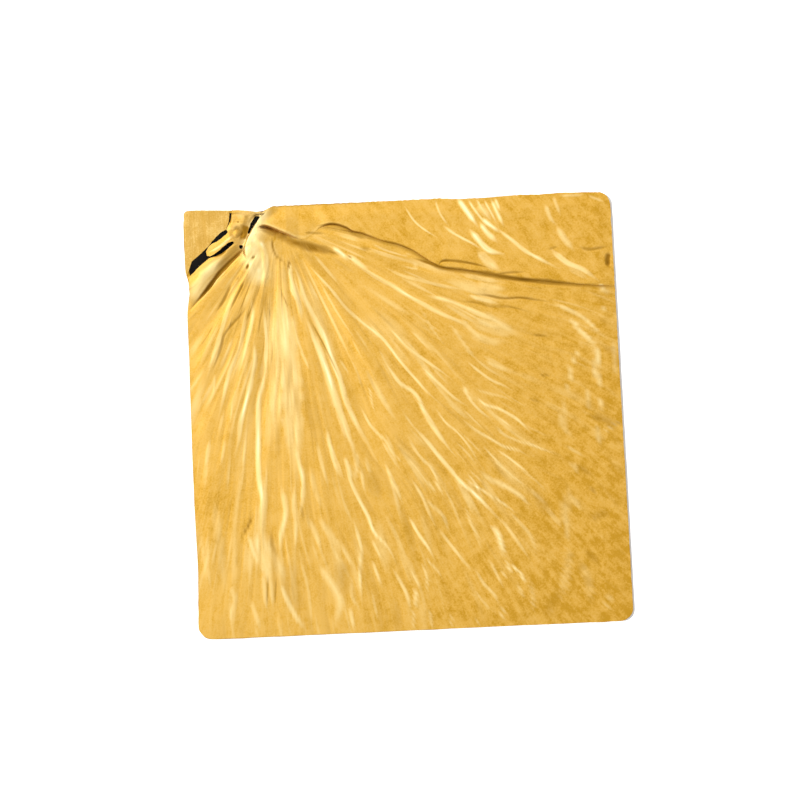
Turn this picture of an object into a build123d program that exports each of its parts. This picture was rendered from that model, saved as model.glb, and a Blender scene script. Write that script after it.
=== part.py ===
from build123d import *
from math import atan, dist, exp, pi, sin, tan
import os

# The booklet lies on a table and is seen from above, with the head of its sheets towards +Y.
# The origin is at the middle of the backing sheet's underside.

# Sheets of the block
leaf_side = 80.0
leaf_corner_radius = 2.4
leaf_thickness = 0.03
flat_leaf_count = 9
interleaf_inset = 0.5
interleaf_thickness = 0.08
backing_thickness = 0.25
backing_corner_radius = 2.2
backing_margin_right = 0.5
backing_margin_below = 0.15

# Gathered top leaf: where its pleats meet, and how far they stand up
top_leaf_thickness = 0.06
gather_from_left = 17.0
gather_from_top = 3.2
gather_width = 4.0
gather_rise = 0.95
edge_rise = 0.24
rise_fade_length = 24.0
ring_shares = (0.0, 0.14, 0.42, 1.0)
valley_share = 0.2
crest_share = 0.56
uneven_turn = 2.4
uneven_place_share = 0.14
uneven_rise_share = 0.3

# Pleats along each side of the leaf, in groups from one corner to the next
hem_width = 4.8
hem_rise_share = 1.25
left_pleat_count = 7
bottom_pleat_count = 16
right_pleat_count = 9
fold_from_top = 17.2
fold_width = 4.0
fold_extra_rise = 0.35
fold_crest_share = 0.12
fold_bow_share = 0.048
smooth_pleat_count = 3
smooth_rise_share = 0.45
head_length = 6.0
head_pleat_count = 3

# Bulge beside the place where the pleats meet, and a lower crown over that place
bulge_from_left = 13.4
bulge_from_top = 7.9
bulge_width = 7.2
bulge_length = 13.2
bulge_rise = 1.9
bulge_lean = 10.0
crown_width = 8.4
crown_length = 6.1
crown_rise = 1.5
crown_lean = 0.0
mound_sections = 5
mound_top_share = 0.3

# Tear across the top left corner, measured from that corner
tear_width = 8.85
tear_height = 13.4
tear_edge_shares = (
    (1.0, 0.0), (0.99, 0.22), (1.07, 0.335), (0.9, 0.415), (0.565, 0.54), (0.465, 0.58),
    (0.54, 0.6), (1.07, 0.465), (1.085, 0.495), (0.565, 0.665), (0.485, 0.665),
    (0.27, 0.78), (0.09, 0.895), (0.0, 1.0),
)
corner_width = 8.5
corner_height = 12.3
corner_tip_radius = 0.9
corner_edge_shares = (
    (1.0, 0.0), (1.0, 0.135), (0.95, 0.26), (0.8, 0.34), (0.565, 0.5), (0.33, 0.645),
    (0.085, 0.79), (0.0, 1.0),
)
overrun = 1.0

# Places worked out from the sizes above
leaf_left = -(leaf_side + backing_margin_right) / 2
leaf_top = (leaf_side + backing_margin_below) / 2
leaf_right = leaf_left + leaf_side
leaf_bottom = leaf_top - leaf_side
interleaf_side = leaf_side - 2 * interleaf_inset
interleaf_corner_radius = leaf_corner_radius - interleaf_inset
leaf_middle = ((leaf_left + leaf_right) / 2, (leaf_top + leaf_bottom) / 2)
gather = (leaf_left + gather_from_left, leaf_top - gather_from_top)
bulge = (leaf_left + bulge_from_left, leaf_top - bulge_from_top)
pair_thickness = interleaf_thickness + leaf_thickness
block_top = backing_thickness + flat_leaf_count * pair_thickness + interleaf_thickness

os.makedirs("parts", exist_ok=True)


def keep(part, name):
    part.label = name
    export_step(part, f"parts/{name}.step")


def from_corner(shares, width, height):
    """Points at shares of a width and height from the leaf's top left corner."""
    return [(leaf_left + x * width, leaf_top - y * height) for x, y in shares]


# Backing sheet, wider than the block, so that it shows along the right edge
with BuildPart() as backing_sheet:
    with BuildSketch():
        RectangleRounded(
            leaf_side + backing_margin_right, leaf_side + backing_margin_below, backing_corner_radius
        )
    extrude(amount=backing_thickness)
keep(backing_sheet.part, "backing_sheet")

# Interleaves and flat leaves, laid face to face from the backing sheet up
for number in range(1, flat_leaf_count + 2):
    base = backing_thickness + (number - 1) * pair_thickness
    with BuildPart() as interleaf:
        with BuildSketch(Plane.XY.offset(base)):
            with Locations(leaf_middle):
                RectangleRounded(interleaf_side, interleaf_side, interleaf_corner_radius)
        extrude(amount=interleaf_thickness)
    keep(interleaf.part, f"interleaf_{number:02d}")
    if number > flat_leaf_count:
        break
    with BuildPart() as leaf:
        with BuildSketch(Plane.XY.offset(base + interleaf_thickness)):
            with Locations(leaf_middle):
                RectangleRounded(leaf_side, leaf_side, leaf_corner_radius)
        extrude(amount=leaf_thickness)
    keep(leaf.part, f"leaf_{number:02d}")

# Torn corner, still flat where it lay
with BuildPart() as torn_corner:
    with BuildSketch(Plane.XY.offset(block_top)) as corner_outline:
        with BuildLine():
            Polyline(
                (leaf_left, leaf_top),
                *from_corner(corner_edge_shares, corner_width, corner_height),
                close=True,
            )
        make_face()
        fillet(
            corner_outline.vertices().sort_by_distance((leaf_left, leaf_top, block_top))[0],
            corner_tip_radius,
        )
    extrude(amount=top_leaf_thickness)
keep(torn_corner.part, "torn_corner")


# Gathered top leaf: pleats run from a small square round the gather to the leaf's four sides
def uneven(number):
    """A value from -1 to 1 that differs from one pleat to the next."""
    return sin(uneven_turn * number * number)


def rise(point):
    """How far a crest stands up at a place on the leaf."""
    return edge_rise + (gather_rise - edge_rise) * exp(-dist(point, gather) / rise_fade_length)


def pleat_stations(groups, foot, reach):
    """Turns from the side's start to its end, each with a rise share and an extra rise."""
    stations = [(atan(-foot / reach), 0.0, 0.0)]
    for start, end, count, rise_share, extra, crest in groups:
        low, high = atan((start - foot) / reach), atan((end - foot) / reach)
        pitch = (high - low) / count
        edges = [
            low + pitch * (n + (uneven_place_share * uneven(n) if 0 < n < count else 0))
            for n in range(count + 1)
        ]
        for n, (a, b) in enumerate(zip(edges, edges[1:])):
            flat = (b - a) * valley_share / 2
            crest_turn = a + flat + (b - a - 2 * flat) * crest
            share = rise_share * (1 - uneven_rise_share * (1 + uneven(n + 1)) / 2)
            stations += [(a + flat, 0.0, 0.0), (crest_turn, share, extra), (b - flat, 0.0, 0.0)]
    return stations


def pleated_side(start, end, groups, bow_share):
    """Upright sections of the pleats from one side of the gather's square to that side of the leaf."""
    length = dist(start, end)
    along = ((end[0] - start[0]) / length, (end[1] - start[1]) / length)
    outward = (along[1], -along[0])
    foot = (gather[0] - start[0]) * along[0] + (gather[1] - start[1]) * along[1]
    reach = (start[0] - gather[0]) * outward[0] + (start[1] - gather[1]) * outward[1]
    inner = [gather[i] + (outward[i] - along[i]) * gather_width / 2 for i in (0, 1)]
    stations = pleat_stations(groups, foot, reach)
    first_turn, last_turn = stations[0][0], atan((length - foot) / reach)
    stations.append((last_turn, 0.0, 0.0))
    sections = []
    for ring_share in ring_shares:
        corner = [inner[i] + (start[i] - inner[i]) * ring_share for i in (0, 1)]
        low, high = [], []
        for turn, rise_share, extra in stations:
            turn_share = (turn - first_turn) / (last_turn - first_turn)
            inner_place = gather_width * turn_share
            outer_place = foot + reach * tan(turn)
            bow = bow_share * reach * sin(pi * turn_share**2) * sin(pi * ring_share)
            place = inner_place + (outer_place - inner_place) * ring_share - bow
            at = [corner[i] + along[i] * place for i in (0, 1)]
            height = rise(at) * rise_share + extra
            low.append((place, height))
            high.append((place, height + top_leaf_thickness))
        plane = Plane(
            origin=(*corner, block_top), x_dir=(*along, 0.0), z_dir=(*outward, 0.0)
        )
        sections.append((plane, [*low, *reversed(high)]))
    return sections


left_groups = (
    (0.0, tear_height, 2, 1.0, 0.0, crest_share),
    (tear_height, tear_height + hem_width, 1, hem_rise_share, 0.0, crest_share),
    (tear_height + hem_width, leaf_side, left_pleat_count, 1.0, 0.0, crest_share),
)
bottom_groups = ((0.0, leaf_side, bottom_pleat_count, 1.0, 0.0, crest_share),)
fold_start = leaf_side - fold_from_top
right_groups = (
    (0.0, fold_start, right_pleat_count, 1.0, 0.0, crest_share),
    (fold_start, fold_start + fold_width, 1, 1.0, fold_extra_rise, fold_crest_share),
    (fold_start + fold_width, leaf_side, smooth_pleat_count, smooth_rise_share, 0.0, crest_share),
)
head_start = leaf_side - gather_from_left - head_length
top_groups = (
    (0.0, head_start, smooth_pleat_count, smooth_rise_share, 0.0, crest_share),
    (head_start, leaf_side, head_pleat_count, 1.0, 0.0, crest_share),
)

sides = (
    ((leaf_left, leaf_top), (leaf_left, leaf_bottom), left_groups, 0.0),
    ((leaf_left, leaf_bottom), (leaf_right, leaf_bottom), bottom_groups, 0.0),
    ((leaf_right, leaf_bottom), (leaf_right, leaf_top), right_groups, fold_bow_share),
    ((leaf_right, leaf_top), (leaf_left, leaf_top), top_groups, 0.0),
)

mounds = (
    (bulge, bulge_lean, bulge_width, bulge_length, bulge_rise),
    (gather, crown_lean, crown_width, crown_length, crown_rise),
)

with BuildPart() as top_leaf:
    for side in sides:
        for plane, outline in pleated_side(*side):
            with BuildSketch(plane):
                with BuildLine():
                    Polyline(*outline, close=True)
                make_face()
        loft(ruled=True)
    for middle, lean, width, length, mound_rise in mounds:
        for section in range(mound_sections):
            height_share = section / (mound_sections - 1)
            size_share = (1 - (1 - mound_top_share**2) * height_share) ** 0.5
            with BuildSketch(Plane.XY.offset(block_top + mound_rise * height_share)):
                with Locations(Location(middle, lean)):
                    Ellipse(width / 2 * size_share, length / 2 * size_share)
        loft()
    with BuildSketch(Plane.XY.offset(block_top)):
        with Locations(leaf_middle):
            RectangleRounded(leaf_side, leaf_side, leaf_corner_radius)
        with BuildLine():
            Polyline(
                (leaf_left - overrun, leaf_top - tear_height),
                (leaf_left - overrun, leaf_top + overrun),
                (leaf_left + tear_width, leaf_top + overrun),
                *from_corner(tear_edge_shares, tear_width, tear_height),
                close=True,
            )
        make_face(mode=Mode.SUBTRACT)
    extrude(amount=bulge_rise + overrun, mode=Mode.INTERSECT)
keep(top_leaf.part, "top_leaf")
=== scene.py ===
from math import cos, radians, sin, tau

import bpy
import numpy as np
from mathutils import Matrix, Vector


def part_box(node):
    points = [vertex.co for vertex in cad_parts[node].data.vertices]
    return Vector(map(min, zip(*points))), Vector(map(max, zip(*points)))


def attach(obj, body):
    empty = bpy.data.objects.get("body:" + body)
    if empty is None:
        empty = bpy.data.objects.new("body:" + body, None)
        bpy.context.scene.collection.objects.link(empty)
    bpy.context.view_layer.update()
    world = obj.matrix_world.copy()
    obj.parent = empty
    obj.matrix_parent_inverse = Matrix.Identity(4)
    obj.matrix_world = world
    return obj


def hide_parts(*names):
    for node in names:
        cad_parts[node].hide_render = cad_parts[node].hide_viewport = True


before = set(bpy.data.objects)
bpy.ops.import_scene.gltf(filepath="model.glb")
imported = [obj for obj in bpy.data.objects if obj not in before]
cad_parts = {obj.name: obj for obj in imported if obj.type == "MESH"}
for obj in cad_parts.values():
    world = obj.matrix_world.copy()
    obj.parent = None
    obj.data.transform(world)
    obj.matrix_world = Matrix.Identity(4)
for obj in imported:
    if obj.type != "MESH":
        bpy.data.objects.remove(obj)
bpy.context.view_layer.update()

# Shapes are worked out in millimetres and made in metres
MM = 0.001
# Keep divisions away from zero, and allow for rounding where lines meet
TINY = 1e-12
SLACK = 1e-9

# View of the photograph: nearly straight down
PHOTO_SIDE = 800
PHOTO_MIDDLE = PHOTO_SIDE / 2
VIEW_DISTANCE = 280.0
VIEW_TILT = radians(4.3)
VIEW_AZIMUTH = radians(19.15)
VIEW_ROLL = radians(-21.84)
VIEW_AIM = np.array([-1.18, 2.62, 0.0])
LENS = 67.48
SENSOR = 36.0


def box_mm(node):
    """Lowest and highest corners of a node, in millimetres."""
    return [np.array(corner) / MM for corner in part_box(node)]


LEAF_LOW, LEAF_HIGH = box_mm("top_leaf")
LEFT, BOTTOM, BLOCK_TOP = LEAF_LOW
RIGHT, TOP = LEAF_HIGH[:2]
LEAF_SIDE = RIGHT - LEFT


# Camera and its view of the sheet
def view_axes():
    """Right, up and backward directions of the camera, and its place."""
    back = np.array(
        [sin(VIEW_AZIMUTH) * sin(VIEW_TILT), -cos(VIEW_AZIMUTH) * sin(VIEW_TILT), cos(VIEW_TILT)]
    )
    right = np.array([cos(VIEW_AZIMUTH), sin(VIEW_AZIMUTH), 0.0])
    up = np.cross(back, right)
    turned_right = right * cos(VIEW_ROLL) + up * sin(VIEW_ROLL)
    turned_up = up * cos(VIEW_ROLL) - right * sin(VIEW_ROLL)
    return turned_right, turned_up, back, VIEW_AIM + back * VIEW_DISTANCE


def make_camera():
    right, up, back, place = view_axes()
    camera = bpy.data.objects.new("camera", bpy.data.cameras.new("camera"))
    camera.data.lens = LENS
    camera.data.sensor_width = SENSOR
    camera.data.clip_start = 0.01
    turn = Matrix((right, up, back)).transposed().to_4x4()
    camera.matrix_world = Matrix.Translation(Vector(place * MM)) @ turn
    bpy.context.scene.collection.objects.link(camera)
    bpy.context.scene.camera = camera


def on_sheet(pixels, height=BLOCK_TOP):
    """Where the photograph's pixels lie on the top of the block, in millimetres."""
    right, up, back, place = view_axes()
    focal = LENS / SENSOR * PHOTO_SIDE
    pixels = np.asarray(pixels, float)
    across = (pixels[:, 0:1] - PHOTO_MIDDLE) / focal
    upward = (PHOTO_MIDDLE - pixels[:, 1:2]) / focal
    ray = across * right + upward * up - back
    reach = (height - place[2]) / ray[:, 2:3]
    return (place + ray * reach)[:, :2]


# Width of a pixel on the sheet, in millimetres
NEXT_PIXELS = on_sheet([(PHOTO_MIDDLE, PHOTO_MIDDLE), (PHOTO_MIDDLE + 1, PHOTO_MIDDLE)])
PIXEL = float(np.hypot(*(NEXT_PIXELS[1] - NEXT_PIXELS[0])))


# Random fields, each fixed by its seed
NOISE_CELLS = 256


def cell_corners(x, y, seed):
    """Where each point is in its cell, and the random values at that cell's corners."""
    table = np.random.default_rng(seed).random((NOISE_CELLS, NOISE_CELLS)) * 2 - 1
    i, j = np.floor(x).astype(int), np.floor(y).astype(int)
    corners = ((0, 0), (1, 0), (0, 1), (1, 1))
    values = [table[(i + a) % NOISE_CELLS, (j + b) % NOISE_CELLS] for a, b in corners]
    return x - i, y - j, values


def cloud(x, y, seed):
    """Smooth noise from -1 to 1, one cell to a unit."""
    u, v, (a, b, c, d) = cell_corners(x, y, seed)
    u, v = u * u * (3 - 2 * u), v * v * (3 - 2 * v)
    return (a * (1 - u) + b * u) * (1 - v) + (c * (1 - u) + d * u) * v


def facets(x, y, seed):
    """Flat triangular facets with sharp edges between them, from -1 to 1."""
    u, v, (a, b, c, d) = cell_corners(x, y, seed)
    low = a + (b - a) * u + (c - a) * v
    high = d + (c - d) * (1 - u) + (b - d) * (1 - v)
    return np.where(u + v < 1, low, high)


def ease(value, low, high):
    """Rises smoothly from 0 at low to 1 at high."""
    t = np.clip((value - low) / (high - low), 0, 1)
    return t * t * (3 - 2 * t)


# Lines and outlines on the sheet
def line_frame(x, y, line):
    """Distance to a line, its side (1 is left of the way it runs), length along it, and whole length."""
    best = np.full(x.shape, np.inf)
    side = np.ones(x.shape)
    along = np.zeros(x.shape)
    run = 0.0
    for (x0, y0), (x1, y1) in zip(line, line[1:]):
        dx, dy = x1 - x0, y1 - y0
        length = np.hypot(dx, dy)
        t = np.clip(((x - x0) * dx + (y - y0) * dy) / length**2, 0, 1)
        away = np.hypot(x - x0 - t * dx, y - y0 - t * dy)
        nearer = away < best
        cross = dx * (y - y0) - dy * (x - x0)
        best = np.where(nearer, away, best)
        side = np.where(nearer, np.where(cross >= 0, 1.0, -1.0), side)
        along = np.where(nearer, run + t * length, along)
        run += length
    return best, side, along, run


def near_line(x, y, line, reach):
    """Whether points are in the box round a line, widened by a reach on every side."""
    return (
        (x > line[:, 0].min() - reach) & (x < line[:, 0].max() + reach)
        & (y > line[:, 1].min() - reach) & (y < line[:, 1].max() + reach)
    )


def smooth_line(pixels, steps=5):
    """A smooth curve through points of the photograph, on the sheet."""
    line = on_sheet(pixels)
    ends = np.vstack([2 * line[0] - line[1], line, 2 * line[-1] - line[-2]])
    t = np.arange(steps)[:, None] / steps
    parts = [
        (2 * b + (c - a) * t + (2 * a - 5 * b + 4 * c - d) * t**2 + (3 * b - a - 3 * c + d) * t**3) / 2
        for a, b, c, d in zip(ends, ends[1:], ends[2:], ends[3:])
    ]
    return np.vstack([*parts, line[-1:]])


def streak(x, y, width, pixels):
    """1 along the middle of a streak of the photograph, uneven, and tapering to its ends."""
    line = smooth_line(pixels)
    value = np.zeros(x.shape)
    near = near_line(x, y, line, width * PIXEL)
    away, side, along, run = line_frame(x[near], y[near], line)
    share = along / run
    taper = ease(share, -0.03, 0.2) * (1 - ease(share, 0.66, 1.02))
    uneven = 1 + 0.25 * cloud(along / 1.4 + line[0, 0] * 7, 0.5 * side, 17)
    half = width * PIXEL * (0.22 + 0.36 * taper) * uneven
    fibres = 0.85 + 0.3 * cloud(away * side / (2.1 * PIXEL), along / 3.5 + line[0, 1] * 5, 18)
    value[near] = np.clip(1 - (away / half) ** 2, 0, 1) * (0.15 + 0.85 * taper) * fibres
    return value


def inside(x, y, outline):
    """Whether points are inside a closed outline."""
    hit = np.zeros(x.shape, bool)
    for (x0, y0), (x1, y1) in zip(outline, np.roll(outline, -1, axis=0)):
        if y0 == y1:
            continue
        crosses = (y0 > y) != (y1 > y)
        hit ^= crosses & (x < (x1 - x0) * (y - y0) / (y1 - y0) + x0)
    return hit


def nearest_on(x, y, outline):
    """Distance to a closed outline, and the nearest places on it."""
    best = np.full(x.shape, np.inf)
    place = np.zeros(x.shape + (2,))
    for (x0, y0), (x1, y1) in zip(outline, np.roll(outline, -1, axis=0)):
        dx, dy = x1 - x0, y1 - y0
        t = np.clip(((x - x0) * dx + (y - y0) * dy) / max(dx * dx + dy * dy, TINY), 0, 1)
        px, py = x0 + t * dx, y0 + t * dy
        away = np.hypot(x - px, y - py)
        nearer = away < best
        best = np.where(nearer, away, best)
        place[nearer] = np.stack([px, py], -1)[nearer]
    return best, place


def rounded_square(low, high, radii, steps=8):
    """Outline of a square with its own radius at each corner, from the top right round to the left."""
    corners = ((high[0], high[1], -1, -1), (low[0], high[1], 1, -1),
               (low[0], low[1], 1, 1), (high[0], low[1], -1, 1))
    points = []
    for turn, ((cx, cy, sx, sy), radius) in enumerate(zip(corners, radii)):
        for step in range(steps + 1):
            angle = tau / 4 * (turn + step / steps)
            points.append(
                (cx + sx * radius + radius * cos(angle), cy + sy * radius + radius * sin(angle))
            )
    return np.array(points)


def head_dips():
    """Places along the head of the sheets, and how far it is pulled in there."""
    places = on_sheet([(across, HEAD_DIP_ROW) for across, depth in HEAD_DIP])[:, 0]
    return places, np.array([depth for across, depth in HEAD_DIP])


def left_dips():
    """Places up the left side of the sheets, and how far it is pulled in there."""
    places = on_sheet([(LEFT_DIP_COLUMN, down) for down, depth in LEFT_DIP])[::-1, 1]
    return places, np.array([depth for down, depth in LEFT_DIP])[::-1]


def head_dip(x):
    return np.interp(x, *head_dips())


def sheet_outline(radii):
    """Outline of the top leaf, with its head and left side pulled in beside the gather."""
    square = rounded_square((LEFT, BOTTOM), (RIGHT, TOP), radii)
    across, head = [values[::-1] for values in head_dips()]
    up, left = [values[::-1] for values in left_dips()]
    turn = len(square) // 4
    return np.vstack([
        square[:turn], np.stack([across, TOP - head], -1), square[turn:2 * turn],
        np.stack([LEFT + left, up], -1), square[2 * turn:],
    ])


def ragged(outline, spacing, depth, seed):
    """The outline with more points on it, each moved a little, as a torn or trimmed edge is."""
    rng = np.random.default_rng(seed)
    points = []
    for start, end in zip(outline, np.roll(outline, -1, axis=0)):
        count = max(1, int(np.hypot(*(end - start)) / spacing))
        points += [start + (end - start) * n / count for n in range(count)]
    points = np.array(points)
    return points + rng.uniform(-depth, depth, points.shape)


# Meshes that fan out from a point to an outline round it
def reach_to(outline, centre, turns):
    """How far the outline is from the centre in each direction."""
    start, end = outline - centre, np.roll(outline, -1, axis=0) - centre
    edge = end - start
    way = np.stack([np.cos(turns), np.sin(turns)], -1)[:, None, :]
    slant = way[..., 0] * edge[:, 1] - way[..., 1] * edge[:, 0]
    slant = np.where(np.abs(slant) < TINY, TINY, slant)
    away = (start[:, 0] * edge[:, 1] - start[:, 1] * edge[:, 0]) / slant
    share = (start[:, 0] * way[..., 1] - start[:, 1] * way[..., 0]) / slant
    hits = (away > 0) & (share >= -SLACK) & (share <= 1 + SLACK)
    return np.where(hits, away, 0).max(axis=1)


TURN_STEPS = 4000


def fan_grid(outline, centre, rows, columns, focus, density):
    """Points from the centre to the outline, evenly spaced round it; density favours some directions."""
    turns = np.linspace(0, tau, TURN_STEPS + 1)
    middles = (turns[1:] + turns[:-1]) / 2
    weight = reach_to(outline, centre, middles) * density(middles)
    total = np.concatenate([[0], np.cumsum(weight)])
    chosen = np.interp(np.arange(columns) / columns * total[-1], total, turns)
    reach = reach_to(outline, centre, chosen)
    share = np.arange(1, rows + 1)[:, None] / rows
    away = reach[None, :] * ((1 - focus) * share + focus * share**2)
    x = centre[0] + away * np.cos(chosen)
    y = centre[1] + away * np.sin(chosen)
    return np.append(x.ravel(), centre[0]), np.append(y.ravel(), centre[1])


def fan_faces(rows, columns):
    """Quads between the grid's rows, and triangles from its first row to the centre."""
    index = np.arange(rows * columns).reshape(rows, columns)
    ahead = np.roll(index, -1, axis=1)
    quads = np.stack([index[:-1], index[1:], ahead[1:], ahead[:-1]], -1).reshape(-1, 4)
    centre = np.full(columns, rows * columns)
    return quads, np.stack([centre, index[0], ahead[0]], -1)


def cut_gaps(x, y, rows, columns, gaps):
    """Which points are kept, once those just inside a gap have been drawn out to its edge."""
    lost = np.zeros(x.shape, bool)
    for gap in gaps:
        lost |= inside(x, y, gap)
    grid = lost[:-1].reshape(rows, columns)
    kept = ~grid
    beside = kept.copy()
    beside[1:] |= kept[:-1]
    beside[:-1] |= kept[1:]
    beside |= np.roll(beside, 1, axis=1) | np.roll(beside, -1, axis=1)
    border = np.append((beside & grid).ravel(), False)
    away = np.full(border.sum(), np.inf)
    place = np.zeros((border.sum(), 2))
    for gap in gaps:
        gap_away, gap_place = nearest_on(x[border], y[border], gap)
        place[gap_away < away] = gap_place[gap_away < away]
        away = np.minimum(away, gap_away)
    x[border], y[border] = place[:, 0], place[:, 1]
    return ~lost | border


def new_mesh(name, points, faces, material, attributes=()):
    """A piece from points in millimetres, lists of faces with 3 and 4 corners, and values at its points."""
    used = np.unique(np.concatenate([part.ravel() for part in faces]))
    number = np.zeros(len(points), np.int32)
    number[used] = np.arange(len(used))
    sizes = np.concatenate([np.full(len(part), part.shape[1]) for part in faces])
    corners = number[np.concatenate([part.ravel() for part in faces])]
    mesh = bpy.data.meshes.new(name)
    mesh.vertices.add(len(used))
    mesh.vertices.foreach_set("co", (points[used] * MM).astype(np.float32).ravel())
    mesh.loops.add(len(corners))
    mesh.loops.foreach_set("vertex_index", corners.astype(np.int32))
    mesh.polygons.add(len(sizes))
    starts = np.concatenate([[0], np.cumsum(sizes)[:-1]])
    mesh.polygons.foreach_set("loop_start", starts.astype(np.int32))
    mesh.update(calc_edges=True)
    mesh.validate()
    mesh.shade_smooth()
    for label, values in attributes:
        layer = mesh.attributes.new(label, "FLOAT", "POINT")
        layer.data.foreach_set("value", values[used].astype(np.float32))
    mesh.materials.append(material)
    piece = bpy.data.objects.new(name, mesh)
    bpy.context.scene.collection.objects.link(piece)
    return piece


def belongs(piece, body):
    """The piece moves with a body and stands for its node, whose own part is hidden."""
    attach(piece, body)
    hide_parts(body)
    return piece


# Trees of nodes
def add(tree, kind, *inputs, **settings):
    """A node of a tree, with its settings and, in order, its inputs: sockets, values or None."""
    node = tree.nodes.new(kind)
    for name, value in settings.items():
        setattr(node, name, value)
    for socket, value in zip(node.inputs, inputs):
        if isinstance(value, bpy.types.NodeSocket):
            tree.links.new(value, socket)
        elif value is not None:
            socket.default_value = value
    return node


def math(tree, operation, *inputs):
    return add(tree, "ShaderNodeMath", *inputs, operation=operation).outputs[0]


def vector(tree, operation, *inputs):
    return add(tree, "ShaderNodeVectorMath", *inputs, operation=operation).outputs[0]


def scaled(tree, value, low, high, from_low=0.0, from_high=1.0):
    return add(tree, "ShaderNodeMapRange", value, from_low, from_high, low, high).outputs[0]


def blend_value(tree, factor, low, high):
    return add(tree, "ShaderNodeMix", factor, None, low, high).outputs[0]


def attribute(tree, name):
    """A value kept at the points of a mesh."""
    return add(tree, "ShaderNodeAttribute", attribute_name=name).outputs["Fac"]


def swing(tree, noise, most):
    """Noise as a value that swings from -most to most."""
    return scaled(tree, noise, -most, most, 0.3, 0.7)


def vector_scaled(tree, value, share):
    node = add(tree, "ShaderNodeVectorMath", value, operation="SCALE")
    tree.links.new(share, node.inputs["Scale"])
    return node.outputs[0]


def new_group(name, kind, inputs, outputs):
    """A tree with named inputs, each with its kind and value, and named outputs."""
    tree = bpy.data.node_groups.new(name, kind)
    for label, socket, value in inputs:
        item = tree.interface.new_socket(name=label, in_out="INPUT", socket_type=socket)
        if value is not None:
            item.default_value = value
    for label, socket in outputs:
        tree.interface.new_socket(name=label, in_out="OUTPUT", socket_type=socket)
    return tree, tree.nodes.new("NodeGroupInput"), tree.nodes.new("NodeGroupOutput")


# Materials
def grain_group():
    """Fine mottling at two scales, over object coordinates."""
    tree, entry, leave = new_group(
        "foil_grain", "ShaderNodeTree",
        (("Scale", "NodeSocketFloat", 1.0), ("Stretch", "NodeSocketVector", (1.0, 1.0, 1.0))),
        (("Mottle", "NodeSocketFloat"), ("Fine", "NodeSocketFloat")),
    )
    place = add(tree, "ShaderNodeTexCoord").outputs["Object"]
    place = vector(tree, "MULTIPLY", place, entry.outputs["Stretch"])
    for scale, detail, name in ((520.0, 4.0, "Mottle"), (3400.0, 2.0, "Fine")):
        noise = add(tree, "ShaderNodeTexNoise", place)
        tree.links.new(math(tree, "MULTIPLY", entry.outputs["Scale"], scale), noise.inputs["Scale"])
        noise.inputs["Detail"].default_value = detail
        noise.inputs["Roughness"].default_value = 0.6
        tree.links.new(noise.outputs["Fac"], leave.inputs[name])
    return tree


# Distances from the gather, as kept in a mesh's "away", past which the hairs are made twice as fine
HAIR_STEPS = (0.0, 1.4, 3.2, 6.4)


def hair_group():
    """Hair-fine lines along a leaf's pleats, and thin broken lines of painted shade, as fine far out as near
    the gather.
    """
    tree, entry, leave = new_group(
        "pleat_hairs", "ShaderNodeTree", (("Fineness", "NodeSocketFloat", 1.0),),
        (("Lines", "NodeSocketFloat"), ("CreaseShade", "NodeSocketFloat")),
    )
    turn = attribute(tree, "turn")
    turn = math(tree, "MULTIPLY", turn, entry.outputs["Fineness"])
    away = attribute(tree, "away")
    fields = []
    for detail, length in ((3.0, 1.0), (0.0, 0.45)):
        field = None
        for step, start in enumerate(HAIR_STEPS):
            place = add(
                tree, "ShaderNodeCombineXYZ", math(tree, "MULTIPLY", turn, 2.0**step),
                math(tree, "MULTIPLY", away, length), step * 3.7 + detail,
            ).outputs[0]
            noise = add(tree, "ShaderNodeTexNoise", place)
            noise.inputs["Scale"].default_value = 1.0
            noise.inputs["Detail"].default_value = detail
            noise.inputs["Roughness"].default_value = 0.6
            level = noise.outputs["Fac"]
            share = scaled(tree, away, 0.0, 1.0, start, start * 1.6) if step else 1.0
            field = blend_value(tree, share, field, level) if step else level
        fields.append(field)
    lines, smooth = fields
    tree.links.new(lines, leave.inputs["Lines"])
    # a thin line of painted shade runs where the smooth field crosses one level, and shows in patches
    from_level = math(tree, "ABSOLUTE", math(tree, "SUBTRACT", smooth, 0.47))
    thin = scaled(tree, from_level, 1.0, 0.0, 0.004, 0.03)
    patches = add(
        tree, "ShaderNodeCombineXYZ", math(tree, "MULTIPLY", turn, 1.3), math(tree, "MULTIPLY", away, 0.55)
    ).outputs[0]
    broken = add(tree, "ShaderNodeTexNoise", patches)
    broken.inputs["Scale"].default_value = 1.0
    shown = scaled(tree, broken.outputs["Fac"], 0.0, 1.0, 0.46, 0.6)
    tree.links.new(math(tree, "MULTIPLY", thin, shown), leave.inputs["CreaseShade"])
    return tree


GRAIN = grain_group()
HAIRS = hair_group()


def new_material(name):
    material = bpy.data.materials.new(name)
    material.use_nodes = True
    return material, material.node_tree, material.node_tree.nodes["Principled BSDF"]


def ramp(tree, value, *stops):
    """A colour that runs through stops, each a place and a colour."""
    node = add(tree, "ShaderNodeValToRGB", value)
    elements = node.color_ramp.elements
    while len(elements) < len(stops):
        elements.new(0.5)
    for element, (place, colour) in zip(elements, stops):
        element.position = place
        element.color = (*colour, 1.0)
    return node.outputs["Color"]


def blend(tree, factor, low, high, mode="MIX"):
    """Mixes two colours, given as sockets or values, by a socket or number."""
    mix = add(tree, "ShaderNodeMix", data_type="RGBA", blend_type=mode)
    for socket, value in ((mix.inputs["Factor"], factor), (mix.inputs[6], low), (mix.inputs[7], high)):
        if isinstance(value, bpy.types.NodeSocket):
            tree.links.new(value, socket)
        else:
            socket.default_value = (*value, 1.0) if isinstance(value, tuple) else value
    return mix.outputs[2]


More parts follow.
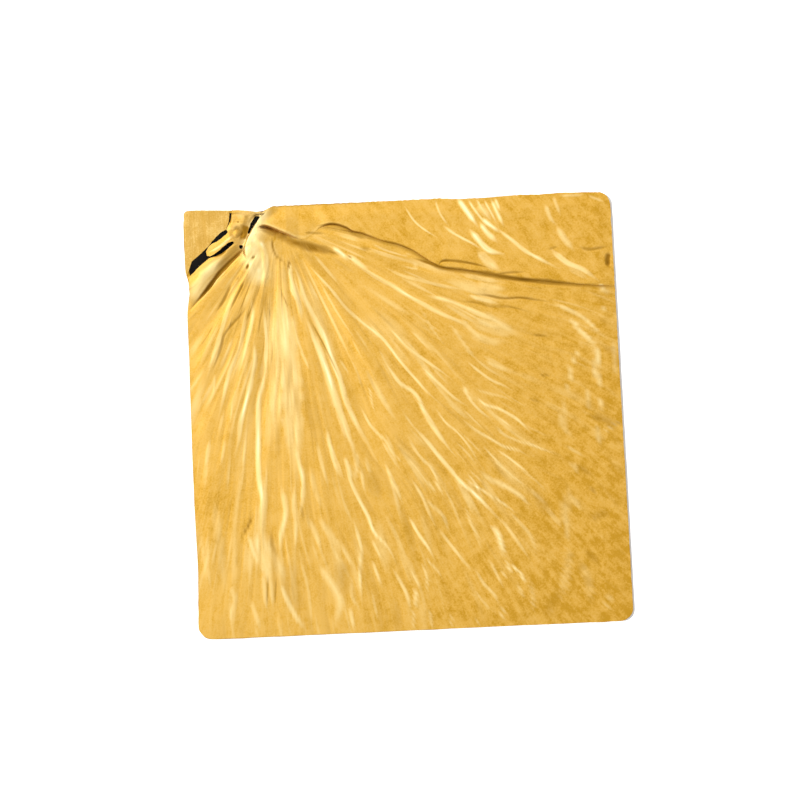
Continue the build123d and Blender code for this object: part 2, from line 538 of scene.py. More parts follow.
DEEP_GOLD = (0.55, 0.29, 0.024)
GOLD = (0.67, 0.385, 0.063)
LIGHT_GOLD = (0.72, 0.44, 0.10)
# colours of the painted highlight
HIGHLIGHT_GOLD = (0.98, 0.80, 0.39)
BRIGHTEST_HIGHLIGHT_GOLD = (1.0, 0.88, 0.57)
# colours of the painted shade
SHADE_GOLD = (0.30, 0.145, 0.012)
DEEPEST_SHADE_GOLD = (0.05, 0.02, 0.002)


def fine_relief(tree, shader, height, strength, depth):
    """Relief too fine for the mesh, its depth in millimetres."""
    relief = add(tree, "ShaderNodeBump")
    relief.inputs["Strength"].default_value = strength
    relief.inputs["Distance"].default_value = depth * MM
    tree.links.new(height, relief.inputs["Height"])
    tree.links.new(relief.outputs["Normal"], shader.inputs["Normal"])


def gold_material(name, shades, roughness=0.5, hairs=True):
    """Gold leaf, finely mottled all over, with painted highlights along its streaks and crests and painted
    shade in its folds and creases.
    """
    material, tree, shader = new_material(name)
    grain = add(tree, "ShaderNodeGroup", node_tree=GRAIN)
    mottle, fine = grain.outputs["Mottle"], grain.outputs["Fine"]
    tone = attribute(tree, "tone")
    coarse = math(tree, "ADD", attribute(tree, "coarse"), 1.0)
    tone = math(tree, "ADD", tone, math(tree, "MULTIPLY", swing(tree, mottle, 0.28), coarse))
    tone = math(tree, "ADD", tone, swing(tree, fine, 0.32))
    height = math(tree, "ADD", scaled(tree, mottle, 0.0, 0.6), scaled(tree, fine, 0.0, 0.25))
    if hairs:
        hair = add(tree, "ShaderNodeGroup", node_tree=HAIRS).outputs
        tone = math(tree, "ADD", tone, swing(tree, hair["Lines"], 0.3))
        height = math(tree, "ADD", height, scaled(tree, hair["Lines"], 0.0, 0.8))
    colour = ramp(tree, tone, *zip((0.0, 0.5, 1.0), shades))
    if hairs:
        # thin lines of painted shade along the pleats
        crease_shade = attribute(tree, "crease_shade")
        colour = blend(tree, math(tree, "MULTIPLY", hair["CreaseShade"], crease_shade), colour, SHADE_GOLD)
    # painted highlight: cream, and palest along the brightest streaks
    highlight = attribute(tree, "painted_highlight")
    colour = blend(tree, highlight, colour, HIGHLIGHT_GOLD)
    colour = blend(tree, scaled(tree, highlight, 0.0, 1.0, 0.7, 1.1), colour, BRIGHTEST_HIGHLIGHT_GOLD)
    # painted shade: brown, and nearly black in the deepest folds
    painted_shade = attribute(tree, "painted_shade")
    colour = blend(tree, scaled(tree, painted_shade, 0.0, 1.0, 0.0, 0.6), colour, SHADE_GOLD)
    colour = blend(tree, scaled(tree, painted_shade, 0.0, 1.0, 0.7, 1.0), colour, DEEPEST_SHADE_GOLD)
    tree.links.new(colour, shader.inputs["Base Color"])
    shader.inputs["Metallic"].default_value = 1.0
    tree.links.new(scaled(tree, mottle, roughness - 0.08, roughness + 0.1), shader.inputs["Roughness"])
    fine_relief(tree, shader, height, 0.5, 0.05)
    return material


def paper_material(name, dark, light, roughness):
    """Matt paper with fine fibres."""
    material, tree, shader = new_material(name)
    grain = add(tree, "ShaderNodeGroup", None, (1.0, 0.35, 1.0), node_tree=GRAIN)
    mottle, fine = grain.outputs["Mottle"], grain.outputs["Fine"]
    tone = math(tree, "ADD", scaled(tree, mottle, -0.3, 0.8), scaled(tree, fine, 0, 0.5))
    tree.links.new(ramp(tree, tone, (0.2, dark), (0.8, light)), shader.inputs["Base Color"])
    shader.inputs["Roughness"].default_value = roughness
    shader.inputs["Specular IOR Level"].default_value = 0.08
    fine_relief(tree, shader, tone, 0.4, 0.03)
    return material


TOP_GOLD = gold_material("pleated_gold", (DEEP_GOLD, GOLD, LIGHT_GOLD))
CORNER_GOLD = gold_material(
    "torn_corner_gold", ((0.54, 0.31, 0.055), (0.62, 0.375, 0.085), (0.73, 0.49, 0.15))
)
FLAT_GOLD = gold_material("flat_gold", (DEEP_GOLD, GOLD, LIGHT_GOLD), 0.34, hairs=False)
# black paper: a dark sheet standing in for the deep shadow seen through the tears and holes of the top leaf
SHADOW_BLACK_PAPER = paper_material("shadow_black_paper", (0.003, 0.002, 0.002), (0.012, 0.01, 0.008), 0.85)
PALE_PAPER = paper_material("pale_paper", (0.66, 0.66, 0.64), (0.84, 0.83, 0.81), 0.85)


# Floor and light
FLOOR_HALF = 3000.0
FLOOR_WHITE = (0.97, 0.97, 0.97, 1.0)
# The floor gives off a little light, so that it is as white as the photograph's background
FLOOR_GLOW = 0.35


def make_floor():
    material, tree, shader = new_material("floor_white")
    shader.inputs["Base Color"].default_value = FLOOR_WHITE
    shader.inputs["Emission Color"].default_value = (1.0, 1.0, 1.0, 1.0)
    shader.inputs["Emission Strength"].default_value = FLOOR_GLOW
    shader.inputs["Roughness"].default_value = 0.9
    points = np.array([[-1, -1, 0], [1, -1, 0], [1, 1, 0], [-1, 1, 0]]) * FLOOR_HALF
    new_mesh("floor", points, [np.array([[0, 1, 2, 3]])], material)


KEY_WAY = Vector((-0.62, 0.5, 0.6))
KEY_STRENGTH = 0.6
KEY_SPREAD = radians(35)
# Brightness of the light all round by how high it comes from, from level to straight above
RING_LEVEL = (0.0, 0.30)
RING_ABOVE = (1.0, 0.52)
RING_BETWEEN = ((0.35, 0.62), (0.7, 0.86), (0.93, 0.66))


def make_light():
    """Soft light from all round, strongest from the upper left and a little weaker straight above."""
    world = bpy.data.worlds.new("studio")
    bpy.context.scene.world = world
    world.use_nodes = True
    tree = world.node_tree
    way = add(tree, "ShaderNodeTexCoord").outputs["Generated"]
    upward = add(tree, "ShaderNodeSeparateXYZ", way).outputs["Z"]
    ring = add(tree, "ShaderNodeFloatCurve")
    tree.links.new(upward, ring.inputs["Value"])
    curve = ring.mapping.curves[0]
    curve.points[0].location, curve.points[1].location = RING_LEVEL, RING_ABOVE
    for place in RING_BETWEEN:
        curve.points.new(*place)
    ring.mapping.update()
    toward = add(
        tree, "ShaderNodeVectorMath", way, (KEY_WAY.x, KEY_WAY.y, 0.0), operation="DOT_PRODUCT"
    ).outputs["Value"]
    level = math(tree, "MULTIPLY", ring.outputs[0], scaled(tree, toward, 1.1, 2.3, -0.6, 0.6))
    tree.links.new(level, tree.nodes["Background"].inputs["Strength"])
    tree.nodes["Background"].inputs["Color"].default_value = (1.0, 1.0, 1.0, 1.0)
    key = bpy.data.objects.new("key", bpy.data.lights.new("key", "SUN"))
    key.data.energy = KEY_STRENGTH
    key.data.angle = KEY_SPREAD
    key.rotation_euler = KEY_WAY.to_track_quat("Z", "Y").to_euler()
    bpy.context.scene.collection.objects.link(key)
    bpy.context.scene.view_settings.view_transform = "Standard"


# Outlines, by pixels of the photograph
TEAR_EDGE = (
    (232, 204), (232, 213), (231.4, 219), (228.9, 225.5), (226.4, 230.2), (229, 232.6), (225.9, 235.9),
    (218.3, 242), (213, 244.2), (209.4, 247.6), (206.8, 252.2), (207.5, 256.4), (210.9, 257.4),
    (216.9, 254), (223, 248.4), (229.2, 243.6), (233.6, 242.4), (235.4, 243.7), (230.5, 248.2),
    (224.2, 253.2), (216.9, 257.2), (210, 259), (203, 265), (198, 269.4), (193.7, 273.8),
    (190.2, 276.8), (186, 280), (176, 284), (170, 195),
)

# How far the head and the left side of every sheet are pulled in along them, in millimetres
HEAD_DIP_ROW = 208
LEFT_DIP_COLUMN = 190
HEAD_DIP = (
    (195, 0.0), (226, 0.3), (241, 0.47), (252, 0.71), (258, 0.92), (264, 0.71), (269.5, 0.45),
    (274, 0.05), (280, 0.0), (300, 0.0), (340, 0.06), (440, 0.1), (458, 0.38), (482, 0.43), (500, 0.33),
    (520, 0.2), (540, 0.33), (560, 0.2), (580, 0.34), (598, 0.42),
)
LEFT_DIP = (
    (268, 0.0), (276, 0.2), (280, 0.62), (296, 0.68), (304, 0.35), (312, 0.12), (330, 0.1), (360, 0.16),
    (400, 0.1), (440, 0.06), (500, 0.1), (530, 0.2), (560, 0.36), (585, 0.32), (610, 0.2),
)
# Holes where the gather's folds lie in deep shadow, so that the black interleaf below shows as that shadow
CRESCENT = (
    (248.4, 235.4), (248, 232), (250.8, 223.9), (255, 216.6), (260, 212.3), (263.8, 212.6),
    (258, 220.8), (253.4, 227), (250.6, 233),
)
SHADOW_SPOT = ((239, 246.6), (241.2, 245.2), (243.3, 246.2), (243, 249.3), (240.6, 249.6))
CORNER_EDGE = (
    (229.6, 205), (229.4, 213), (229.2, 219), (228, 224.6), (226, 229.8), (221.4, 232.2), (216.4, 236.7),
    (211.8, 242), (209.2, 245.6), (205.5, 249.4), (201.6, 253.2), (190.9, 262.4), (189.3, 269),
    (187.3, 277.3), (184.2, 272.8),
)

# Where the smooth flap grows out of the gather
FLAP_START = ((257, 229.5), (258.2, 222), (262, 215.5), (266, 210.5), (268, 206))

# Fan of pleats: its centre and the fold that crosses it
FAN_CENTRE = on_sheet([(278, 219)])[0]
FOLD = (
    (257, 229.5), (262, 227), (269, 228), (281, 232.8), (290, 236.3), (298, 239.3), (306, 239.3),
    (313, 235), (319, 229), (326, 226), (334, 225), (345, 228), (353, 232), (361, 233.7), (371, 237.4),
    (387, 242.6), (397, 244.8), (409, 249.4), (421, 256), (438, 266.6), (449, 269), (476, 272.4),
    (506, 277.9), (547, 282.2), (585, 285.4), (640, 287),
)
# How far the fold stands open along it, by pixels across
FOLD_OPENING_ROW = 260
FOLD_OPENING = (
    (257, 0.0), (263, 1.0), (288, 1.0), (300, 0.1), (316, 0.0), (330, 0.5), (352, 0.75), (380, 0.6),
    (412, 0.6), (430, 0.95), (470, 0.8), (500, 0.9), (560, 0.7), (600, 0.8), (614, 0.4),
)

# Streaks of painted highlight, each on a slight rise: width in pixels, strength, and points from end to end
LEFT_STREAKS = (
    (5, 0.6, ((237, 286), (226, 316), (219, 341), (214, 356), (207, 379))),
    (3, 0.5, ((233, 339), (226, 356), (219, 372))),
    (4.5, 0.8, ((246, 312), (241, 346), (231, 370), (224, 397), (219, 418))),
    (4, 0.5, ((251, 295), (253, 316), (249, 336), (244, 358), (238, 377))),
    (5.5, 0.9, ((254, 341), (255, 362), (249, 392), (241, 423), (239, 440), (235, 456))),
    (4, 0.8, ((264, 308), (267, 341), (266, 362), (268, 384))),
    (5.5, 0.95, ((268, 360), (263, 384), (259, 402), (258.5, 440), (258.5, 463), (260, 484),
        (263, 500), (263, 519), (262, 540), (267, 562))),
    (8, 0.6, ((264, 478), (264.5, 497), (262.5, 519), (262, 536), (268, 556), (276, 572))),
    (3, 0.4, ((233, 402), (231, 423))), (3, 0.4, ((215, 375), (214, 397))),
    (3, 0.3, ((202, 397), (196, 418))), (3, 0.4, ((224, 413), (219, 433))),
    (2.5, 0.4, ((274, 341), (277, 372))), (5, 0.25, ((283, 262), (285, 290), (288, 310))),
    (22, 0.75, ((280, 290), (286, 341), (290, 372), (292, 402), (295, 440), (297, 478))),
    (15, 0.45, ((270, 300), (274, 350), (276, 400), (274, 450))), (4, 0.5, ((210, 440), (206, 470))),
    (4, 0.4, ((246, 437), (243, 470))), (3, 0.4, ((226, 440), (221, 466))),
)
MIDDLE_STREAKS = (
    (5, 1.0, ((289, 258), (292, 281), (298, 301), (300, 318))),
    (5, 1.0, ((290, 284), (299, 304), (302, 322))),
    (6, 1.0, ((295, 268), (300, 280), (304, 297), (314, 317), (326, 340), (333, 361), (340, 378),
        (345, 397), (351, 412), (358, 427), (366, 441), (377, 461))),
    (7.5, 1.0, ((307, 320), (316, 341), (323, 360), (328.5, 375), (335, 397), (341, 415), (347, 433),
        (353, 448), (356, 468))),
    (3, 0.5, ((292, 316), (298, 341), (306, 358))), (3, 0.5, ((300, 349), (310, 370))),
    (3, 0.5, ((302, 258), (315, 285), (338, 332), (357, 373))),
    (3, 0.5, ((314, 255), (322, 264), (340, 286))),
    (3.2, 0.95, ((310, 267), (329, 287), (346, 308), (364, 324), (383, 339), (400, 361), (419, 383),
        (427, 392), (442, 405), (450, 413))),
    (2.5, 0.4, ((318, 279), (340, 317), (360, 346))), (2.5, 0.5, ((340, 360), (349, 374))),
    (2.5, 0.5, ((351, 360), (358, 374), (362, 390))), (2, 0.6, ((369.5, 387), (372, 403), (375, 413))),
    (3, 0.75, ((361, 408), (369, 423), (377, 433), (385, 440), (391, 450), (400, 469))),
    (3.5, 0.5, ((386, 435), (394, 453))), (2, 0.4, ((379, 349), (394, 379))),
    (3.5, 0.9, ((384, 360), (393, 374), (401, 384), (412, 391), (419, 399), (424, 411), (433, 426),
        (442, 439), (451, 451), (458, 458))),
    (5, 0.9, ((418, 398), (424, 411), (433, 426), (442, 439), (450, 449))),
    (4.5, 0.9, ((412, 425), (423, 437), (431, 446), (438, 455), (449, 468), (460, 481), (470, 490),
        (485, 504), (499, 519), (507, 524))),
    (3.2, 0.75, ((408, 435), (414, 448), (423, 460), (431, 467), (438, 482), (443, 498))),
    (2.2, 0.6, ((402, 454), (412, 463), (425, 480), (438, 498))), (2.5, 0.4, ((405, 415), (413, 426))),
    (4.5, 0.7, ((327, 429), (331, 450), (337, 469), (344, 480))),
    (5, 0.85, ((345, 458), (349, 470), (352, 482))), (4, 0.8, ((357, 452), (357, 464), (354, 482))),
    (2.5, 0.6, ((362, 471), (364, 484))), (4, 0.4, ((366, 459), (370, 474))),
    (4, 0.6, ((385, 462), (392, 482), (402, 524))), (4, 0.5, ((317, 442), (322, 463), (329, 489))),
)
HAIR_STREAKS = (
    (3, 0.9, ((387, 326), (394, 333), (409, 349), (426, 361), (442, 372), (452, 380))),
    (2, 0.45, ((412, 331), (429, 350))), (2, 0.35, ((419, 305), (432, 329), (449, 351))),
    (3.5, 0.65, ((451, 325), (461, 340), (471, 354), (480, 362))),
    (3, 0.75, ((420, 365), (438, 383), (456, 399), (470, 407))), (2, 0.4, ((423, 371), (440, 387))),
    (2.2, 0.6, ((436, 408), (445, 422), (458, 433), (470, 448), (481, 468))),
    (3, 0.7, ((462, 381), (468, 396), (477, 408), (488, 417), (495, 419.5))),
    (2, 0.5, ((465, 411), (475, 421), (483, 428))),
    (2.8, 0.75, ((463, 420), (475, 430), (491, 439), (505, 447), (518, 450), (530, 457))),
    (2.8, 0.85, ((468, 362), (477, 370), (491, 380), (505, 386), (513, 391))),
    (2.5, 0.8, ((476, 359), (488, 369), (502, 377.5))), (5, 0.5, ((486, 361), (497, 367), (510, 371))),
    (2.2, 0.6, ((475, 390), (491, 394), (505, 397.5), (513, 403))),
    (3.2, 0.85, ((477, 396), (484, 404), (499, 409), (509, 414.5), (518, 420), (532, 434))),
    (2.5, 0.6, ((498, 417), (511, 427))), (3.5, 0.6, ((497, 428), (503, 434))),
    (2.2, 0.6, ((495, 427), (505, 435), (518, 441), (532, 445), (545, 450), (560, 455))),
    (2.5, 0.6, ((484, 447), (494, 458), (506, 468))),
    (2.5, 0.65, ((497, 450), (509, 458), (523, 469), (531, 476))), (3, 0.6, ((494, 461), (505, 470))),
    (6, 0.6, ((480, 471), (491, 480), (505, 486), (523, 498), (529, 510))),
    (2.2, 0.5, ((468, 474), (477, 485), (492, 500))), (2, 0.4, ((470, 471), (485, 484))),
    (2.5, 0.8, ((466, 480), (485, 492), (504, 504), (521, 516))),
    (3, 0.8, ((455, 480), (471, 491), (484, 504), (496, 516))),
    (2, 0.4, ((500, 474), (514, 478), (527, 487))), (2, 0.35, ((520, 470), (535, 480), (548, 494))),
)
LOWER_STREAKS = (
    (3.5, 0.7, ((390, 478), (397, 490), (402, 502))),
    (3.5, 0.8, ((409, 517), (418, 533), (428, 547), (434, 559))),
    (3.5, 0.8, ((413, 481), (422, 496), (427, 508), (436, 528))),
    (3.5, 0.6, ((422, 497), (436, 509), (444, 517), (449, 533))), (2.5, 0.5, ((426, 480), (436, 492))),
    (3, 0.6, ((435, 480), (443, 495))), (3.2, 0.7, ((438, 528), (451, 545), (468, 566), (479, 571))),
    (6.5, 0.95, ((490, 525), (498, 534), (501, 545), (503, 559))),
    (4.5, 0.95, ((507, 563), (510, 571))), (4, 0.9, ((514, 565), (517, 573))),
    (4, 0.9, ((520, 571), (525, 583))), (4, 0.8, ((502, 569), (505, 578))),
    (3, 0.5, ((489, 559), (496, 573), (504, 589))), (2.5, 0.4, ((466, 507), (472, 526), (482, 541))),
    (3.5, 0.55, ((476, 570), (484, 584), (494, 594), (499, 606))),
    (2.5, 0.6, ((476, 592), (485, 604), (494, 611))),
    (3.5, 0.7, ((393, 569), (401, 583), (407, 595), (411, 613))),
    (4.5, 0.8, ((416.5, 590), (415, 608))), (3, 0.6, ((422, 564), (427, 578), (426, 594))),
    (3, 0.6, ((411, 570), (415, 578), (421, 589))), (2, 0.5, ((426, 559), (437, 570), (443, 579))),
    (4, 0.4, ((518, 583), (523, 598))), (5, 0.35, ((531, 580), (533, 599), (532, 612))),
    (6, 0.7, ((281, 486), (286, 510), (281, 536), (281, 554))),
    (5, 0.85, ((294, 440), (299, 463), (303.3, 478), (303.3, 497), (299, 518))),
    (4.5, 0.65, ((295, 486), (294, 504), (296, 527), (295, 554))),
    (12, 0.6, ((262, 528), (258, 545), (266, 566), (272, 590))),
    (10, 0.5, ((268, 536), (274, 556), (281, 572), (282, 590))),
    (5, 0.7, ((248, 533), (255, 555), (263, 569))),
    (5, 0.9, ((281, 582), (286, 597), (296, 616), (308, 632))),
    (4.5, 0.6, ((263, 573), (266, 603), (269, 612))), (4, 0.6, ((271, 577), (273.5, 607))),
    (5, 0.7, ((251, 602), (261, 630))), (5.5, 0.6, ((229, 588), (236, 598), (233, 612), (233, 630))),
    (4, 0.7, ((329, 440), (336, 460), (344, 479))), (6, 0.4, ((311, 470), (317, 495), (327, 512))),
    (4, 1.0, ((345, 462), (351, 481), (358, 497), (368, 516), (374, 532), (387, 546), (397, 564))),
    (3.5, 0.6, ((361, 468), (365, 494))), (3, 0.6, ((383, 443), (400, 470))),
    (3.5, 0.65, ((387, 469), (400, 494))), (6, 0.5, ((306, 516), (317, 536), (322, 552))),
    (7, 0.5, ((319, 518), (338, 546), (340, 556))), (3.5, 0.65, ((341, 545), (353, 566))),
    (4, 0.8, ((354, 521), (361, 548), (360, 568), (361, 600))),
    (9, 0.55, ((318, 564), (332, 584), (340, 603), (334, 627))),
    (3, 0.5, ((300, 558), (309, 593), (312, 632))), (3.5, 0.6, ((352, 577), (352, 596), (361, 610))),
    (4, 0.75, ((350, 608), (354, 630))), (3.5, 0.6, ((372, 539), (383, 562))),
    (3.5, 0.6, ((373, 562), (381, 584))), (3, 0.5, ((372, 592), (378, 620))),
    (4, 0.45, ((339, 558), (351, 581))), (9, 0.3, ((214, 500), (222, 560), (226, 600))),
    (4, 0.4, ((201, 540), (212, 590))), (3, 0.6, ((414, 610), (413, 630))),
    (3, 0.5, ((430, 610), (432, 629))), (3, 0.4, ((452, 615), (450, 628))),
    (3, 0.5, ((478, 618), (477, 627))), (4, 0.5, ((505, 605), (500, 620))),
)
RIGHT_STREAKS = (
    (4.5, 0.75, ((554, 303), (568, 310), (585, 319), (602, 336))),
    (5.5, 0.8, ((569, 317), (579, 330), (590, 341), (598, 351))),
    (6, 0.75, ((594, 342), (597, 356), (596, 372), (603, 392))), (3, 0.5, ((600, 398), (603, 415))),
    (3, 0.6, ((580, 340), (579, 350), (573, 361), (570, 376), (565, 402))),
    (3.5, 0.5, ((584, 385), (589, 403), (583, 415))), (6, 0.35, ((565, 400), (563, 425), (575, 440))),
    (2.5, 0.7, ((605, 432), (613, 425), (621, 421))), (6, 0.5, ((570, 495), (582, 510))),
    (5, 0.5, ((571, 462), (578, 474))), (4, 0.45, ((566, 446), (583, 456))),
    (5, 0.5, ((568, 485), (567, 505), (568, 540), (566, 552))), (4, 0.4, ((562, 500), (565, 530))),
    (8, 0.35, ((571, 548), (566, 574), (560, 600))), (3, 0.4, ((620, 300), (613, 330))),
    (4, 0.35, ((605, 610), (612, 592))), (4, 0.4, ((613, 340), (617, 380))),
    (8, 0.5, ((596, 425), (600, 445))), (5, 0.4, ((545, 506), (562, 528))),
    (9, 0.25, ((580, 560), (588, 580), (590, 604))), (4, 0.5, ((500, 517), (520, 545), (530, 560))),
    (4, 0.4, ((508, 510), (530, 535), (537, 560))), (5, 0.4, ((528, 488), (548, 506))),
)
FLAP_STREAKS = (
    (5.5, 0.95, ((333, 247), (338, 251.5), (343, 256), (349, 261))),
    (5.5, 0.85, ((344, 259), (351, 257.5), (360, 264.5), (371, 273.5))),
    (4.5, 0.8, ((346, 260), (360, 267), (371, 274), (380, 279.5), (392, 285.5), (403, 293), (417, 301),
        (438, 312.5), (460, 322), (482, 336))),
    (2, 0.65, ((373, 243.6), (383, 249.4), (406, 256.6))), (2.5, 0.5, ((403, 257), (410, 253))),
    (2, 0.5, ((413, 259), (416, 269), (402, 266))),
    (3.5, 0.6, ((385, 267.6), (403, 276), (424, 281.5), (449, 287.4), (474, 291))),
    (4.5, 0.75, ((428, 296), (449, 301), (481, 315))), (3, 0.6, ((469, 295), (482, 301))),
    (2, 0.6, ((404, 205.5), (414, 221), (426, 231), (438, 238))),
    (2, 0.6, ((435, 200), (440, 214), (449, 226.5))),
    (2.6, 0.85, ((443, 226), (455, 234.4), (472, 243.6), (482, 250))),
    (5.5, 1.0, ((457, 198), (466.5, 211), (478, 227))),
    (2.5, 0.8, ((468, 200), (476, 212), (487, 226))), (2.2, 0.7, ((476, 199), (484, 212), (492, 222))),
    (2, 0.7, ((484, 200), (491, 213), (497, 224))),
    (6, 1.0, ((470, 230), (481, 243.5), (490, 251), (504, 254.4))),
    (5, 0.95, ((480, 223), (487, 232.5), (497.5, 243))),
    (4.5, 0.9, ((481, 218), (492, 227), (500, 233))), (4, 0.75, ((491, 200), (498, 215), (504, 227))),
    (3.5, 0.7, ((495, 199), (500, 211))), (9, 0.45, ((478, 205), (490, 218))),
    (4.2, 0.8, ((497, 229), (514, 242), (525, 251), (540, 259.5), (559, 269))),
    (9, 0.55, ((478, 251), (487, 261.5), (500, 271))), (4.5, 0.6, ((545, 205), (550, 218), (556, 225))),
    (6.5, 0.45, ((557, 227), (564, 239), (574, 251))), (4, 0.35, ((553, 197), (560, 215))),
    (5.5, 0.8, ((551, 249.5), (558, 256), (568, 263.5), (585, 271), (599, 281.5))),
    (6, 0.3, ((568, 268), (588, 279))), (5, 0.5, ((460, 273.5), (482, 279), (504, 282))),
    (10, 0.5, ((476, 286), (506, 289))), (4.5, 0.7, ((470, 296.5), (482, 299.5), (499, 304))),
    (6, 0.7, ((460, 305), (482, 315), (505, 321.5))), (14, 0.5, ((472, 322), (500, 329), (518, 335))),
    (8, 0.55, ((482, 312), (500, 324), (518, 335.5))), (9, 0.45, ((468, 333), (490, 341), (506, 341))),
    (5, 0.6, ((460, 318), (471, 330), (488, 345))), (5.5, 0.8, ((599, 284), (608, 295))),
    (4, 0.5, ((600, 306), (608, 312))), (3, 0.4, ((588, 196), (604, 202))),
    (3, 0.35, ((560, 196), (585, 195))), (2, 0.5, ((264, 210.5), (272, 208.4))),
    (4, 0.5, ((263, 226.5), (270, 227.8), (281, 232.3))),
    (2.6, 0.75, ((276, 230.6), (290, 236), (301, 240))),
)
GATHER_STREAKS = (
    (10, 0.9, ((266, 211), (258, 223), (253, 233), (248.5, 243), (247.5, 254), (250, 266))),
    (6, 0.9, ((257, 239), (263.5, 247), (266, 258), (266, 282))),
    (22, 0.5, ((256, 232), (256, 250), (258, 268))), (12, 0.35, ((270, 240), (272, 252), (278, 262))),
    (9, 0.6, ((190, 296), (202, 281), (216, 268), (228, 257))),
    (17, 0.75, ((191, 303), (203, 284), (217, 269), (230, 256))),
    (3.5, 0.6, ((211, 252.5), (217, 250), (226, 243.4), (236, 234))),
    (9, 0.35, ((236, 216), (250, 214))), (7, 0.3, ((233, 228), (243, 222))),
)

# Lines and hollows of painted shade, each a slight dip, in the same way
SHADE_STREAKS = (
    (3.2, 0.6, ((318, 226.3), (334, 224.7), (346, 228.1), (352, 232.1), (363, 234.4), (375, 238.5),
        (386, 242.5))),
    (2.6, 0.6, ((380, 240.5), (398, 244.8), (409, 249.4), (422, 255))),
    (4, 0.45, ((349, 231.5), (358, 235.5), (368, 239.5))),
    (3.4, 0.75, ((414, 258.6), (426, 262), (438, 266.6), (449, 269), (463, 269.8), (480, 274.3))),
    (3, 0.75, ((438, 267.5), (439.5, 264), (444.7, 261), (461, 262.2), (476, 264.8), (492, 269.3))),
    (3, 0.5, ((495, 275.7), (506, 273.5), (527, 272.3))),
    (5.4, 0.75, ((460, 270), (476, 272.6), (493, 275), (506, 278), (525, 280), (547, 282.3),
        (569, 284.5), (585, 285.5), (600, 283.3))),
    (3, 0.55, ((474, 294.7), (487, 295.7), (503, 298.5), (520, 297.9), (536, 300), (554, 302.6))),
    (3, 0.35, ((460, 301.7), (476, 302.8), (490, 306.6), (509, 307), (531, 312.6))),
    (3, 0.5, ((305, 233.3), (325, 233.9))),
    (10, 0.62, ((281, 238), (295, 243), (311, 247.5), (326, 251), (342, 255.5))),
    (3.5, 0.6, ((283, 236.5), (289, 239.5), (296, 241))),
    (4, 0.7, ((297, 243.5), (303, 245.5), (309, 246))),
    (4.5, 0.72, ((306, 248), (314, 248.5), (321, 252))), (4, 0.6, ((322, 251), (330, 252), (338, 255))),
    (4, 0.35, ((362, 249), (371, 249.6))),
    (7, 0.55, ((258.6, 232), (263, 229.6), (268, 231), (276, 235), (286, 238.5), (296, 242))),
    (4, 0.6, ((265, 230), (271, 232.5), (278, 234))),
    (2.6, 0.5, ((272.6, 238), (273.3, 248), (276.4, 256), (282.5, 261.2), (288.5, 267))),
    (3, 0.65, ((290, 261), (288, 272))), (2.5, 0.5, ((349, 256.5), (352, 258))),
    (3.2, 0.45, ((579, 247.5), (590, 249.7), (609, 246.4))), (3, 0.4, ((549, 249.2), (558, 247))),
    (6, 0.9, ((608.5, 252.5), (607.4, 260), (608.6, 268))), (3, 0.45, ((531.5, 335.3), (548, 336))),
    (3, 0.45, ((540, 376), (549, 375))), (3, 0.3, ((531, 400), (540, 401))),
    (3.4, 0.55, ((232, 284), (224, 300.5), (216, 313))),
    (3, 0.55, ((245, 281), (237, 297.5), (230, 312))),
    (3, 0.5, ((247, 308.5), (239, 318), (229, 329), (224, 337), (221, 349.5), (212, 374))),
    (2.2, 0.35, ((264, 306), (260.6, 321), (258.6, 337))), (2.2, 0.35, ((282, 293), (288.5, 308))),
    (2, 0.4, ((309, 318), (326, 349), (340, 379))), (3, 0.5, ((254, 515), (246.6, 529.5), (240, 539))),
    (2.5, 0.45, ((268.5, 577), (267, 606))), (2.5, 0.45, ((276.6, 577), (275.3, 605))),
    (4.5, 0.35, ((272, 532), (273.5, 547), (280, 559))), (4, 0.3, ((302.7, 508), (304, 521))),
    (20, 0.16, ((292, 560), (291, 590), (300, 622))), (18, 0.14, ((343, 560), (346, 600))),
    (16, 0.16, ((372, 470), (380, 500))), (3, 0.45, ((612, 425), (624, 421))),
    (9, 0.25, ((590, 417), (606, 420), (616, 432))), (7, 0.2, ((578, 465), (592, 476))),
    (8, 0.2, ((590, 520), (612, 510))), (8, 0.2, ((585, 550), (600, 565))),
    (5, 0.3, ((590, 487), (595, 493))), (14, 0.15, ((560, 590), (545, 620))),
    (12, 0.15, ((535, 490), (550, 520))), (9, 0.2, ((603, 349), (618, 352))),
    (3, 0.8, ((252.3, 259.2), (256.2, 257.4))), (3, 0.75, ((247, 269.8), (249.2, 264.6))),
    (2.2, 0.6, ((237.5, 279.5), (239, 277.8))), (2.4, 0.6, ((237.6, 222), (239.6, 223.6))),
    (10, 0.8, ((247, 224), (243, 234), (240, 243))), (6, 0.5, ((234, 228), (239, 231), (243, 236))),
    (5, 0.5, ((246, 214), (247, 220), (244, 229))), (5, 0.5, ((236, 238), (241, 235), (246, 233))),
    (2.6, 0.7, ((231, 213), (230.6, 222), (229.8, 226))),
    (4, 0.95, ((246, 247), (234, 259), (226, 266.8), (217, 277), (207, 290.4), (191, 309))),
    (7, 0.3, ((243, 244), (232, 255), (223, 264), (214, 274))),
    (4, 0.35, ((258, 211), (249, 223), (246.5, 234), (244.4, 243))),
    (4, 0.55, ((228, 250), (222, 255), (212, 258))),
    (3.5, 0.9, ((270, 206.6), (265, 209.6), (259, 213.5))),
    (5, 0.6, ((262, 210), (257, 215), (252, 222))),
)
HIGHLIGHT_STREAKS = (
    LEFT_STREAKS + MIDDLE_STREAKS + HAIR_STREAKS + LOWER_STREAKS
    + RIGHT_STREAKS + FLAP_STREAKS + GATHER_STREAKS
)


